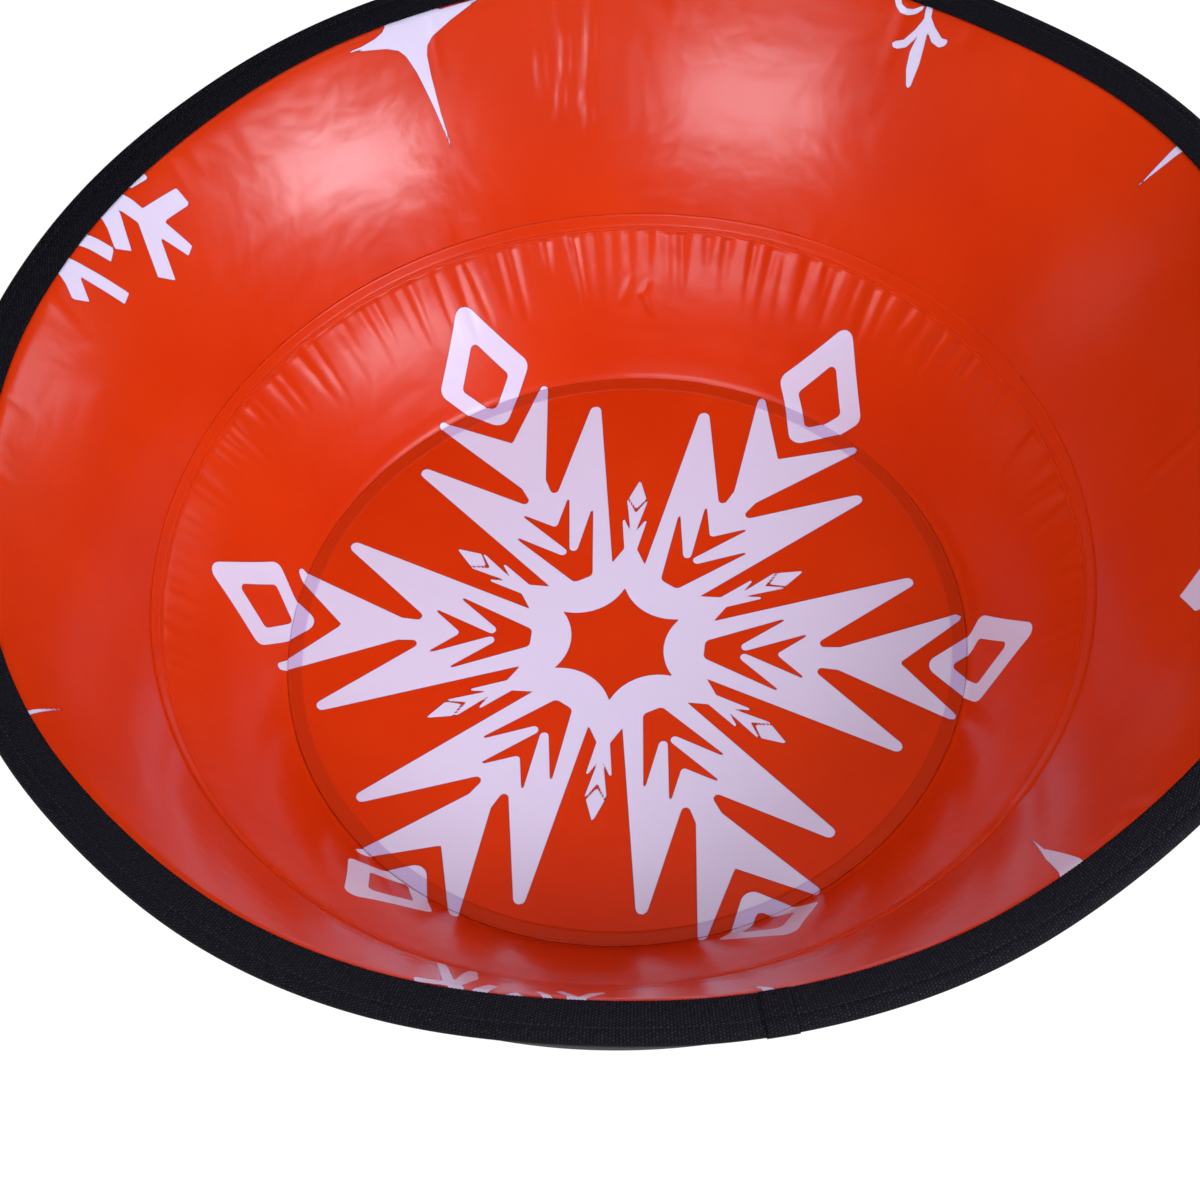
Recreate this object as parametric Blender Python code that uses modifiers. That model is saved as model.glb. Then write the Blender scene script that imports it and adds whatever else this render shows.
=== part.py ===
"""Snow tube: an inflatable bowl-shaped air wall with a hanging seat, bound at the rim.

Metres, +Z up, origin on the ground under the centre of the tube.
The photographed side looks along +Y, so the far side of the rim is at +Y.
Every turned piece has FACETS flat sides, turned so that a side faces +X, +Y, -X and -Y.
Fittings on the outer wall sit on one of those flat sides.
"""

import math

import bmesh
import bpy
from mathutils import Matrix, Vector

# Overall size
FACETS = 60                    # flat sides round the tube
FLOOR_RADIUS = 0.272           # seat floor disc
FLOOR_HEIGHT = 0.060           # top of the seat floor above the ground
RIM_HEIGHT = 0.332             # top of the bound rim
RIM_RADIUS = 0.498             # outer edge of the rim tape
TAPE_WIDTH = 0.030             # rim tape as seen from above
SEAM_RADIUS = 0.358            # ring weld between seat skirt and inner wall
SEAM_HEIGHT = 0.161
BASE_RADIUS = 0.286            # flat that the tube slides on

# Sheet goods
PVC = 0.0015                   # welded PVC sheet
COVER = 0.0010                 # coated fabric of the outer cover
BASE_PANEL = 0.0012            # coated base panel
TAPE = 0.0015                  # woven binding tape
GAP = 0.0003                   # clearance between touching pieces
LAP = 0.012                    # width of a welded or sewn overlap

# Shape of the walls
INNER_BULGE = 0.004            # how far the inner wall stands proud of a straight cone
OUTER_BULGE = 0.020
FLANGE_INSET = 0.004           # the sheets stop this far inside the tape's outer fold
INNER_TURN = 0.003             # the inner wall leaves the flange this far outside the tape's edge
OUTER_TURN = 0.009             # and the outer wall this far
INNER_TURN_IN = 0.007          # inward run of the inner wall's bend from flange to wall
OUTER_TURN_IN = 0.0035         # and of the outer wall's bend
TURN_DROP = 0.0056             # height of both bends
CORNER_HEIGHT = 0.010          # where the outer wall turns under
CORNER_OVERHANG = 0.018        # how far the outer wall stands outside the base flat there
FOOT_INSET = 0.018             # the chamber's bottom lap ends this far inside the base flat
FOOT_RADIUS = BASE_RADIUS - FOOT_INSET
ARC_SPANS = 4                  # rows of flat sides down each wall

# Seat skirt gathers
GATHER_DEPTH = 0.0022          # depth of a pucker just under the ring weld
GATHER_FADE = 0.075            # distance over which the puckers die out
GATHER_EDGE = 0.001            # rows this near the weld or the foot stay even
SKIRT_ROWS = (0.0, 0.12, 0.42, 0.72, 1.0)   # rows of points from the ring weld to the foot
SKIRT_FOOT = 0.0025            # the skirt turns under this far outside the floor disc

# Webs inside the air wall
WEB_COUNT = 12
WEB_TOP = 0.290
WEB_BOTTOM = 0.040
WEB_CLEARANCE = 0.0005

# Rim tape section
TAPE_EDGE_ROUND = 0.0012       # round of the tape's inner edge
TAPE_EDGE_DROP = 0.0005
GROOVE_INSET = 0.0085          # sewn groove, from the outer edge of the tape
GROOVE_HALF = 0.0012
GROOVE_DEPTH = 0.0006
FOLD_ROUND = 0.0022            # round of the outer fold
FOLD_DROP = 0.0008
FOLD_CLEARANCE = 0.0008        # between the sheets' edges and the tape's fold

# Fittings on the outer wall
FITTING_ROW_COUNT = 1          # rows of flat sides between the rim and the fittings

# Valve
VALVE_AZIMUTH = 60             # degrees from +X, a multiple of 360 / FACETS
VALVE_FLANGE_RADIUS = 0.0160
VALVE_NECK_RADIUS = 0.0100
VALVE_NECK_DEPTH = 0.0120
VALVE_BORE_RADIUS = 0.0076
VALVE_THREAD_RADIUS = 0.0072
VALVE_HEAD_RADIUS = 0.0120
VALVE_HEAD_HEIGHT = 0.0050
AIRWAY_RADIUS = 0.0045
TETHER_THICKNESS = 0.0012
CAP_WALL = 0.0015
CAP_PIN_RADIUS = 0.0032
CAP_PIN_LENGTH = 0.0040
CAP_CLEARANCE = 0.0006
HINGE_RADIUS = 0.0010
HINGE_WIDTH = 0.0080
CAP_STRAP_THICKNESS = 0.0014
COVER_PORT_RADIUS = 0.0180     # hole in the cover round the valve
VALVE_CHAMFER = 0.0008
INSERT_SHORTER = 0.0015        # the insert ends this far inside the neck
HINGE_STANDOFF = 0.0010        # between the cap's rim and its hinge
TAB_OVERLAP = 0.0020           # clearance of the tether's tab from its hole
CAP_STRAP_CLEARANCE = 0.0004   # between the strap's root and the insert's head
CUT_LENGTH = 0.0100            # cutters for the holes are this long
SMALL_SIDES = 32               # flat sides of the valve's turned pieces

# Carry handles, at +X and -X
LUG_ANGLE = 18                 # degrees from the handle's middle to each lug
LUG_BASE_RADIUS = 0.0160
LUG_BASE_THICKNESS = 0.0030
LUG_EYE_HEIGHT = 0.0200        # bail axis above the cover
LUG_EYE_RADIUS = 0.0095
LUG_EYE_LENGTH = 0.0140
LUG_FOOT_SLOPE = 0.0020        # the foot's top is this much smaller in radius
LUG_STEM_LENGTH = 0.0100       # along the rim
LUG_STEM_HEIGHT = 0.01425      # up the wall
LUG_STEM_LIFT = 0.0005
LUG_SIDES = 28
EYE_SIDES = 24
BAIL_RADIUS = 0.0045
BAIL_CLEARANCE = 0.0005
BAIL_REACH = 0.046             # from the bail's axis to the middle of the grip
BAIL_STRAIGHT = 0.003          # straight run between an eye and the bend
BAIL_LEAD = 0.004              # straight run between the bend and the grip
BAIL_SHY = 0.0005              # the bail ends this far inside the eye's outer face
BAIL_STEPS = 8
GRIP_RADIUS = 0.0135
GRIP_LENGTH = 0.120
GRIP_GROOVES = 4
GRIP_GROOVE_DEPTH = 0.0016
GRIP_GROOVE_SHAPE = ((0.45, 0.0), (0.2, 0.75), (-0.2, 0.75), (-0.45, 0.0))   # share of pitch, of depth
GRIP_CLEARANCE = 0.0006
GRIP_SHOULDER = 0.003
GRIP_PLAIN_END = 0.008
GRIP_SIDES = 20

# Tow point, at +Y
TOW_AZIMUTH = 90
TOW_PATCH_WIDTH = 0.034
TOW_PATCH_HEIGHT = 0.060
TOW_PATCH_THICKNESS = 0.0020
TOW_PATCH_CORNER = 0.006
TOW_STRAP_WIDTH = 0.024
TOW_STRAP_THICKNESS = 0.0014
TOW_STRAP_TAIL = 0.022
TOW_LOOP_STEPS = 10
TOW_EYE_SIDES = 16
RING_WIRE_RADIUS = 0.0025
RING_BAR = 0.032               # straight side of the D ring
RING_DROP = 0.012              # straight legs between the bar and the bow
RING_CORNER = 0.004
RING_CORNER_ANGLES = (30, 60, 90)
RING_BOW_STEPS = 12

# Overlap of the rim tape's ends
TAPE_JOINT_AZIMUTH = -84
TAPE_JOINT_WIDTH = 0.020
TAPE_JOINT_THICKNESS = 0.0011

HALF_SIDE = math.pi / FACETS
MERGE = 0.00001                # points nearer than this are one point
CREASE = 35                    # degrees; sharper edges stay crisp
ROUND_WIRE = 2                 # bevel resolution of round cords and wires
COLLECTION = "snow_tube"
CUTTERS = "cutters"


def clear_scene():
    for item in list(bpy.data.objects):
        bpy.data.objects.remove(item, do_unlink=True)
    for group in list(bpy.data.collections):
        bpy.data.collections.remove(group)
    for name in (COLLECTION, CUTTERS):
        group = bpy.data.collections.new(name)
        bpy.context.scene.collection.children.link(group)


def finish(name, colour, roughness, metallic=0.0):
    """A Principled material with the piece's plain colour."""
    material = bpy.data.materials.get(name) or bpy.data.materials.new(name)
    material.use_nodes = True
    shader = material.node_tree.nodes["Principled BSDF"]
    shader.inputs["Base Color"].default_value = (*colour, 1.0)
    shader.inputs["Roughness"].default_value = roughness
    shader.inputs["Metallic"].default_value = metallic
    return material


def printed_pvc():
    return finish("printed_pvc", (0.68, 0.036, 0.004), 0.25)


def black_pvc():
    return finish("black_pvc", (0.02, 0.02, 0.024), 0.4)


def cover_fabric():
    return finish("cover_fabric", (0.012, 0.012, 0.016), 0.7)


def woven_tape():
    return finish("woven_tape", (0.010, 0.010, 0.014), 0.8)


def moulded_rubber():
    return finish("moulded_rubber", (0.03, 0.03, 0.033), 0.55)


def ring_steel():
    return finish("ring_steel", (0.6, 0.6, 0.62), 0.3, 1.0)


def place(item, material):
    bpy.data.collections[COLLECTION].objects.link(item)
    if material is not None:
        item.data.materials.clear()
        item.data.materials.append(material)
    return item


def as_mesh_object(source, name):
    """The evaluated shape of an object as a plain mesh object, caps welded; the source goes."""
    bpy.context.view_layer.update()
    graph = bpy.context.evaluated_depsgraph_get()
    mesh = bpy.data.meshes.new_from_object(source.evaluated_get(graph), depsgraph=graph)
    shape = bmesh.new()
    shape.from_mesh(mesh)
    bmesh.ops.remove_doubles(shape, verts=shape.verts, dist=MERGE)
    bmesh.ops.recalc_face_normals(shape, faces=shape.faces)
    shape.to_mesh(mesh)
    shape.free()
    result = bpy.data.objects.new(name, mesh)
    result.matrix_world = source.matrix_world.copy()
    bpy.data.objects.remove(source, do_unlink=True)
    return result


def offset_path(path, distance):
    """The (r, z) path moved sideways: positive to its right-hand side as it runs."""
    moved = []
    for i, (r, z) in enumerate(path):
        normals = []
        for a, b in ((i - 1, i), (i, i + 1)):
            if a >= 0 and b < len(path):
                dr, dz = path[b][0] - path[a][0], path[b][1] - path[a][1]
                length = math.hypot(dr, dz)
                normals.append((dz / length, -dr / length))
        nr = sum(n[0] for n in normals) / len(normals)
        nz = sum(n[1] for n in normals) / len(normals)
        scale = distance / (nr * nr + nz * nz)
        moved.append((r + nr * scale, z + nz * scale))
    return moved


def bowed(start, end, bulge, spans):
    """Points on a circular arc from start to end; a positive bulge is to the right of the run."""
    dr, dz = end[0] - start[0], end[1] - start[1]
    chord = math.hypot(dr, dz)
    radius = chord * chord / (8 * abs(bulge)) + abs(bulge) / 2
    half = math.asin(chord / 2 / radius)
    side = math.copysign(1.0, bulge)
    points = []
    for i in range(spans + 1):
        angle = half * (2 * i / spans - 1)
        along = 0.5 + math.sin(angle) / (2 * math.sin(half))
        rise = side * radius * (math.cos(angle) - math.cos(half))
        points.append((start[0] + dr * along + dz / chord * rise, start[1] + dz * along - dr / chord * rise))
    return points


def wall_paths():
    """The cover's outer face and the inner wall's visible face, each from the rim inwards and down."""
    flange_edge = RIM_RADIUS - FLANGE_INSET
    tape_edge = RIM_RADIUS - TAPE_WIDTH
    throat = tape_edge + OUTER_TURN
    cover_flange = RIM_HEIGHT - TAPE - 2 * PVC - COVER - 3 * GAP
    outside = [(flange_edge, cover_flange), (throat, cover_flange)]
    outside += bowed(
        (throat - OUTER_TURN_IN, cover_flange - TURN_DROP),
        (BASE_RADIUS + CORNER_OVERHANG, CORNER_HEIGHT),
        -OUTER_BULGE,
        ARC_SPANS,
    )
    base_top = BASE_PANEL + GAP
    outside += [(BASE_RADIUS, base_top), (FOOT_RADIUS, base_top)]
    seat_flange = RIM_HEIGHT - TAPE - GAP
    throat = tape_edge + INNER_TURN
    inside = [(flange_edge, seat_flange), (throat, seat_flange)]
    inside += bowed(
        (throat - INNER_TURN_IN, seat_flange - TURN_DROP),
        (SEAM_RADIUS, SEAM_HEIGHT),
        INNER_BULGE,
        ARC_SPANS,
    )
    foot = base_top + COVER + 2 * PVC + 2 * GAP
    inside += [(FOOT_RADIUS + LAP, foot), (FOOT_RADIUS, foot)]
    return outside, inside


OUTSIDE, INSIDE = wall_paths()
FIRST_ARC_POINT = 2            # index in OUTSIDE and INSIDE where the bowed wall starts


def band(path, near, far):
    """A closed (r, z) outline between two offsets of a path."""
    return offset_path(path, near) + offset_path(path, far)[::-1]


def turned(name, outline, material, closed=True, sides=FACETS):
    """An (r, z) outline turned round the Z axis, with a flat side towards +X."""
    area = sum(
        a[0] * b[1] - b[0] * a[1] for a, b in zip(outline, outline[1:] + outline[:1])
    )
    if area > 0:
        outline = outline[::-1]
    mesh = bpy.data.meshes.new(name)
    edges = [(i, i + 1) for i in range(len(outline) - 1)]
    if closed:
        edges.append((len(outline) - 1, 0))
    mesh.from_pydata([(r, 0, z) for r, z in outline], edges, [])
    item = place(bpy.data.objects.new(name, mesh), material)
    item.rotation_euler.z = math.pi / sides
    screw = item.modifiers.new("turn", "SCREW")
    screw.steps = screw.render_steps = sides
    screw.use_merge_vertices = True
    screw.merge_threshold = MERGE
    screw.use_smooth_shade = True
    return item


def cylinder(name, radius, depth, matrix, sides=SMALL_SIDES, top_radius=None):
    """A closed cylinder or cone whose lower end sits at the matrix's origin, along its own Z."""
    shape = bmesh.new()
    bmesh.ops.create_cone(
        shape,
        cap_ends=True,
        segments=sides,
        radius1=radius,
        radius2=radius if top_radius is None else top_radius,
        depth=depth,
    )
    bmesh.ops.translate(shape, verts=shape.verts, vec=(0, 0, depth / 2))
    mesh = bpy.data.meshes.new(name)
    shape.to_mesh(mesh)
    shape.free()
    item = bpy.data.objects.new(name, mesh)
    item.matrix_world = matrix
    return item


def lathe(name, outline, material, matrix, sides=SMALL_SIDES):
    """A small turned piece: a closed (r, z) outline round its own Z axis."""
    item = turned(name, outline, material, sides=sides)
    item.matrix_world = matrix
    return item


def as_cutter(item):
    bpy.data.collections[CUTTERS].objects.link(item)
    item.hide_render = True
    item.display_type = "WIRE"
    return item


def boolean(item, other, operation):
    modifier = item.modifiers.new(operation.lower(), "BOOLEAN")
    modifier.operation = operation
    modifier.solver = "EXACT"
    modifier.object = other
    return item


def side_frame(azimuth, offset=0.0):
    """A frame on a flat side of the cover: X along the rim, Y up the wall, Z out of it."""
    first = FIRST_ARC_POINT + FITTING_ROW_COUNT
    top, bottom = OUTSIDE[first], OUTSIDE[first + 1]
    flat = math.cos(HALF_SIDE)
    upper = Vector((top[0] * flat, 0, top[1]))
    lower = Vector((bottom[0] * flat, 0, bottom[1]))
    up = (upper - lower).normalized()
    along = Vector((0, 1, 0))
    out = along.cross(up)
    middle = (upper + lower) / 2 + out * offset
    frame = Matrix((along, up, out)).transposed().to_4x4()
    frame.translation = middle
    return Matrix.Rotation(math.radians(azimuth), 4, "Z") @ frame


def make_seat_floor():
    top, bottom = FLOOR_HEIGHT, FLOOR_HEIGHT - PVC
    outline = [(0, top), (FLOOR_RADIUS, top), (FLOOR_RADIUS, bottom), (0, bottom)]
    return turned("seat_floor", outline, printed_pvc(), closed=False)


def skirt_path():
    """The skirt's visible face: welded margin on the wall, gathered slope, margin under the floor."""
    wall_top, wall_foot = INSIDE[FIRST_ARC_POINT + ARC_SPANS - 1], (SEAM_RADIUS, SEAM_HEIGHT)
    run = Vector((wall_top[0] - wall_foot[0], wall_top[1] - wall_foot[1])).normalized()
    lift = PVC + 2 * GAP
    normal = Vector((-run.y, run.x)) * lift
    margin = (wall_foot[0] + run.x * LAP + normal.x, wall_foot[1] + run.y * LAP + normal.y)
    seam = (wall_foot[0] + normal.x, wall_foot[1] + normal.y)
    tuck = FLOOR_HEIGHT - PVC - GAP
    foot = (FLOOR_RADIUS + SKIRT_FOOT, tuck)
    slope = [(seam[0] + (foot[0] - seam[0]) * t, seam[1] + (foot[1] - seam[1]) * t) for t in SKIRT_ROWS]
    return [margin] + slope + [(FLOOR_RADIUS - LAP, tuck)]


def make_seat_skirt():
    """A turned sheet whose rows under the ring weld are puckered in and out, then thickened."""
    path = skirt_path()
    sheet = turned("skirt_sheet", path, None, closed=False)
    skirt = as_mesh_object(sheet, "seat_skirt")
    if skirt.data.polygons[0].normal.z < 0:
        skirt.data.flip_normals()
    place(skirt, printed_pvc())
    seam, foot = Vector(path[1]), Vector(path[-2])
    rise = (seam - foot).normalized()
    normal = Vector((-rise.y, rise.x))
    for vertex in skirt.data.vertices:
        radius = math.hypot(vertex.co.x, vertex.co.y)
        below = (seam - Vector((radius, vertex.co.z))).dot(rise)
        if below < GATHER_EDGE or vertex.co.z < foot.y + GATHER_EDGE:
            continue
        side = round(math.atan2(vertex.co.y, vertex.co.x) / (2 * HALF_SIDE)) % 2
        depth = GATHER_DEPTH * max(0.0, 1 - below / GATHER_FADE) * (1 if side else -1)
        scale = (radius + normal.x * depth) / radius
        vertex.co.x *= scale
        vertex.co.y *= scale
        vertex.co.z += normal.y * depth
    shell = skirt.modifiers.new("sheet", "SOLIDIFY")
    shell.thickness = PVC
    shell.offset = -1
    shell.use_even_offset = True
    return skirt


def make_air_wall():
    """The chamber's printed inner wall, its outer sheet, and the cover that goes round it."""
    inner = turned("inner_wall", band(INSIDE, 0, -PVC), printed_pvc())
    near = COVER + GAP
    outer = turned("outer_sheet", band(OUTSIDE, near, near + PVC), black_pvc())
    cover = turned("cover_side", band(OUTSIDE, 0, COVER), cover_fabric())
    return inner, outer, cover


def make_cover_base():
    outline = [(0, BASE_PANEL), (BASE_RADIUS, BASE_PANEL), (BASE_RADIUS, 0), (0, 0)]
    return turned("cover_base", outline, cover_fabric(), closed=False)


def radius_at(path, height):
    """Where a falling (r, z) path crosses a height."""
    for (r0, z0), (r1, z1) in zip(path, path[1:]):
        if z1 <= height <= z0 and z0 > z1:
            return r1 + (r0 - r1) * (height - z1) / (z0 - z1)
    raise ValueError("the path doesn't reach this height")


def extruded(name, outline, thickness, material, matrix):
    """A flat outline in its own XY plane, thickened evenly to both sides."""
    curve = bpy.data.curves.new(name, "CURVE")
    curve.dimensions = "2D"
    curve.fill_mode = "BOTH"
    curve.extrude = thickness / 2
    loops = outline if isinstance(outline[0], list) else [outline]
    for loop in loops:
        spline = curve.splines.new("POLY")
        spline.points.add(len(loop) - 1)
        for point, (x, y) in zip(spline.points, loop):
            point.co = (x, y, 0, 1)
        spline.use_cyclic_u = True
    source = bpy.data.objects.new(name + "_curve", curve)
    bpy.context.scene.collection.objects.link(source)
    item = as_mesh_object(source, name)
    item.matrix_world = matrix
    return place(item, material)


def web_outline():
    """One web: it follows the inner wall's back and the outer sheet's inner face."""
    inner = offset_path(INSIDE, -PVC - WEB_CLEARANCE)
    outer = offset_path(OUTSIDE, COVER + GAP + PVC + WEB_CLEARANCE)
    inner_heights = [z for _, z in inner[FIRST_ARC_POINT:] if WEB_BOTTOM < z < WEB_TOP]
    outer_heights = [z for _, z in outer[FIRST_ARC_POINT:] if WEB_BOTTOM < z < WEB_TOP]
    down = [WEB_TOP] + inner_heights + [WEB_BOTTOM]
    up = [WEB_BOTTOM] + outer_heights[::-1] + [WEB_TOP]
    return [(radius_at(inner, z), z) for z in down] + [(radius_at(outer, z), z) for z in up]


def make_chamber_webs():
    """Radial webs welded across the air wall, which hold it to its flat bowl shape."""
    upright = Matrix.Rotation(math.radians(90), 4, "X")
    for i in range(WEB_COUNT):
        turn = Matrix.Rotation(2 * math.pi * i / WEB_COUNT + HALF_SIDE, 4, "Z")
        extruded(f"chamber_web_{i + 1:02d}", web_outline(), PVC, black_pvc(), turn @ upright)


def tape_outline(grow=0.0):
    """Half the tape's section from above and half from below: a fold round the flange."""
    outer = RIM_RADIUS + grow
    top = RIM_HEIGHT + grow
    bottom = RIM_HEIGHT - 2 * TAPE - 2 * PVC - COVER - 4 * GAP - grow
    inner = RIM_RADIUS - TAPE_WIDTH
    leg = inner + OUTER_TURN + TAPE
    middle = (top + bottom) / 2
    groove = RIM_RADIUS - GROOVE_INSET
    return [
        (inner, top - TAPE_EDGE_DROP),
        (inner + TAPE_EDGE_ROUND, top),
        (groove - GROOVE_HALF, top),
        (groove, top - GROOVE_DEPTH),
        (groove + GROOVE_HALF, top),
        (outer - FOLD_ROUND, top - FOLD_DROP),
        (outer, middle),
        (outer - FOLD_ROUND, bottom + FOLD_DROP),
        (groove, bottom),
        (leg, bottom),
    ]


def make_rim_tape():
    outline = tape_outline()
    leg, underside = outline[-1]
    fold = RIM_RADIUS - FLANGE_INSET + FOLD_CLEARANCE
    cavity = [
        (leg, underside + TAPE),
        (fold, underside + TAPE),
        (fold, RIM_HEIGHT - TAPE),
        (RIM_RADIUS - TAPE_WIDTH, RIM_HEIGHT - TAPE),
    ]
    return turned("rim_tape", outline + cavity, woven_tape())


def make_tape_joint():
    """The tape's two ends overlap in a short sleeve on one flat side of the rim."""
    flat = math.cos(HALF_SIDE)
    outer = [(r * flat, z) for r, z in tape_outline(GAP + TAPE_JOINT_THICKNESS)]
    inner = [(r * flat, z) for r, z in tape_outline(GAP)]
    upright = Matrix.Rotation(math.radians(90), 4, "X")
    turn = Matrix.Rotation(math.radians(TAPE_JOINT_AZIMUTH), 4, "Z")
    return extruded("tape_joint", outer + inner[::-1], TAPE_JOINT_WIDTH, woven_tape(), turn @ upright)


def make_valve():
    """A welded flange and neck, a screwed insert, and a push-in cap on a tether."""
    sheet = COVER + GAP
    frame = side_frame(VALVE_AZIMUTH, -sheet)
    flange_top = GAP + PVC
    base = lathe(
        "valve_base",
        [
            (VALVE_BORE_RADIUS, flange_top),
            (VALVE_FLANGE_RADIUS, flange_top),
            (VALVE_FLANGE_RADIUS, GAP),
            (VALVE_NECK_RADIUS, GAP),
            (VALVE_NECK_RADIUS, -VALVE_NECK_DEPTH),
            (VALVE_BORE_RADIUS, -VALVE_NECK_DEPTH),
        ],
        black_pvc(),
        frame,
    )
    tether_low = flange_top + GAP
    tether_top = tether_low + TETHER_THICKNESS
    head_low = tether_top + GAP
    head_top = head_low + VALVE_HEAD_HEIGHT
    insert = lathe(
        "valve_insert",
        [
            (AIRWAY_RADIUS, head_top),
            (VALVE_HEAD_RADIUS - VALVE_CHAMFER, head_top),
            (VALVE_HEAD_RADIUS, head_top - VALVE_CHAMFER),
            (VALVE_HEAD_RADIUS, head_low),
            (VALVE_THREAD_RADIUS, head_low),
            (VALVE_THREAD_RADIUS, INSERT_SHORTER - VALVE_NECK_DEPTH),
            (AIRWAY_RADIUS, INSERT_SHORTER - VALVE_NECK_DEPTH),
        ],
        moulded_rubber(),
        frame,
    )
    cup_inner = VALVE_HEAD_RADIUS + CAP_CLEARANCE
    cup_outer = cup_inner + CAP_WALL
    hinge_out = cup_outer + HINGE_RADIUS + HINGE_STANDOFF
    hinge_high = tether_top + GAP + HINGE_RADIUS
    make_tether(frame, tether_low, hinge_out)
    make_cap(frame, cup_inner, cup_outer, head_top, hinge_out, hinge_high)
    return base, insert


def make_tether(frame, low, reach):
    """A flat ring trapped under the insert's head, with a tab out to the cap's hinge."""
    ring = cylinder("valve_tether", VALVE_HEAD_RADIUS, TETHER_THICKNESS, frame @ Matrix.Translation((0, 0, low)))
    place(ring, moulded_rubber())
    length = reach + HINGE_RADIUS - VALVE_THREAD_RADIUS - TAB_OVERLAP
    tab = box(
        "tether_tab",
        (HINGE_WIDTH, length, TETHER_THICKNESS),
        frame @ Matrix.Translation((0, reach + HINGE_RADIUS - length / 2, low + TETHER_THICKNESS / 2)),
    )
    boolean(ring, as_cutter(tab), "UNION")
    hole = cylinder(
        "tether_hole",
        VALVE_THREAD_RADIUS + GAP,
        CUT_LENGTH,
        frame @ Matrix.Translation((0, 0, low - CUT_LENGTH / 2)),
    )
    return boolean(ring, as_cutter(hole), "DIFFERENCE")


def make_cap(frame, cup_inner, cup_outer, head_top, hinge_out, hinge_high):
    """A cup over the insert's head with a plug pin; its origin is on the hinge."""
    roof = head_top + GAP
    origin = Matrix.Translation((0, -hinge_out, -hinge_high))
    outline = [
        (0, roof + CAP_WALL),
        (cup_outer - VALVE_CHAMFER, roof + CAP_WALL),
        (cup_outer, roof + CAP_WALL - VALVE_CHAMFER),
        (cup_outer, hinge_high),
        (cup_inner, hinge_high),
        (cup_inner, roof),
        (CAP_PIN_RADIUS, roof),
        (CAP_PIN_RADIUS, roof - CAP_PIN_LENGTH),
        (0, roof - CAP_PIN_LENGTH),
    ]
    cup = turned("cap_body", outline, None, closed=False, sides=SMALL_SIDES)
    cap = as_mesh_object(cup, "valve_cap")
    cap.data.transform(origin)
    cap.matrix_world = frame @ origin.inverted()
    place(cap, moulded_rubber())
    length = hinge_out - cup_inner - CAP_STRAP_CLEARANCE
    strap = box(
        "cap_strap",
        (HINGE_WIDTH, length, CAP_STRAP_THICKNESS),
        frame @ Matrix.Translation((0, hinge_out - length / 2, hinge_high)),
    )
    across = Matrix.Rotation(math.radians(90), 4, "Y")
    start = Matrix.Translation((-HINGE_WIDTH / 2, hinge_out, hinge_high))
    barrel = cylinder("cap_barrel", HINGE_RADIUS, HINGE_WIDTH, frame @ start @ across)
    boolean(cap, as_cutter(strap), "UNION")
    return boolean(cap, as_cutter(barrel), "UNION")


def box(name, size, matrix):
    shape = bmesh.new()
    bmesh.ops.create_cube(shape, size=1.0)
    bmesh.ops.scale(shape, vec=size, verts=shape.verts)
    mesh = bpy.data.meshes.new(name)
    shape.to_mesh(mesh)
    shape.free()
    item = bpy.data.objects.new(name, mesh)
    item.matrix_world = matrix
    return item


def cut_valve_holes(outer, cover):
    """The neck goes through the outer sheet, and the cover is cut away round the flange."""
    frame = side_frame(VALVE_AZIMUTH, -COVER - GAP)
    neck = cylinder(
        "neck_hole", VALVE_NECK_RADIUS + GAP, 4 * PVC, frame @ Matrix.Translation((0, 0, -2.5 * PVC))
    )
    port = cylinder(
        "cover_port", COVER_PORT_RADIUS, CUT_LENGTH, frame @ Matrix.Translation((0, 0, -CUT_LENGTH / 5))
    )
    boolean(outer, as_cutter(neck), "DIFFERENCE")
    boolean(cover, as_cutter(port), "DIFFERENCE")


def lug_eye(side):
    """The middle of a lug's eye on the handle at +X; side is +1 or -1 along Y."""
    frame = side_frame(side * LUG_ANGLE)
    return frame @ Vector((0, 0, LUG_EYE_HEIGHT))


def make_lug(side):
    """A moulded foot on a flat side of the cover, with an eye whose bore runs along Y."""
    frame = side_frame(side * LUG_ANGLE, GAP)
    eye_at = lug_eye(side)
    along = Matrix.Rotation(math.radians(90), 4, "X")
    foot = cylinder(
        "foot", LUG_BASE_RADIUS, LUG_BASE_THICKNESS, frame, LUG_SIDES, LUG_BASE_RADIUS - LUG_FOOT_SLOPE
    )
    bpy.data.collections[COLLECTION].objects.link(foot)
    half = Vector((0, LUG_EYE_LENGTH / 2, 0))
    eye = cylinder("eye", LUG_EYE_RADIUS, LUG_EYE_LENGTH, Matrix.Translation(eye_at + half) @ along, EYE_SIDES)
    reach = LUG_EYE_HEIGHT - 2 * LUG_STEM_LIFT
    stem = box(
        "stem",
        (LUG_STEM_LENGTH, LUG_STEM_HEIGHT, reach),
        frame @ Matrix.Translation((0, 0, reach / 2 + LUG_STEM_LIFT)),
    )
    bore_length = Vector((0, LUG_EYE_LENGTH, 0))
    bore = cylinder(
        "bore",
        BAIL_RADIUS + BAIL_CLEARANCE,
        2 * LUG_EYE_LENGTH,
        Matrix.Translation(eye_at + bore_length) @ along,
        EYE_SIDES,
    )
    boolean(foot, as_cutter(stem), "UNION")
    boolean(foot, as_cutter(eye), "UNION")
    boolean(foot, as_cutter(bore), "DIFFERENCE")
    return as_mesh_object(foot, "lug")


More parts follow.
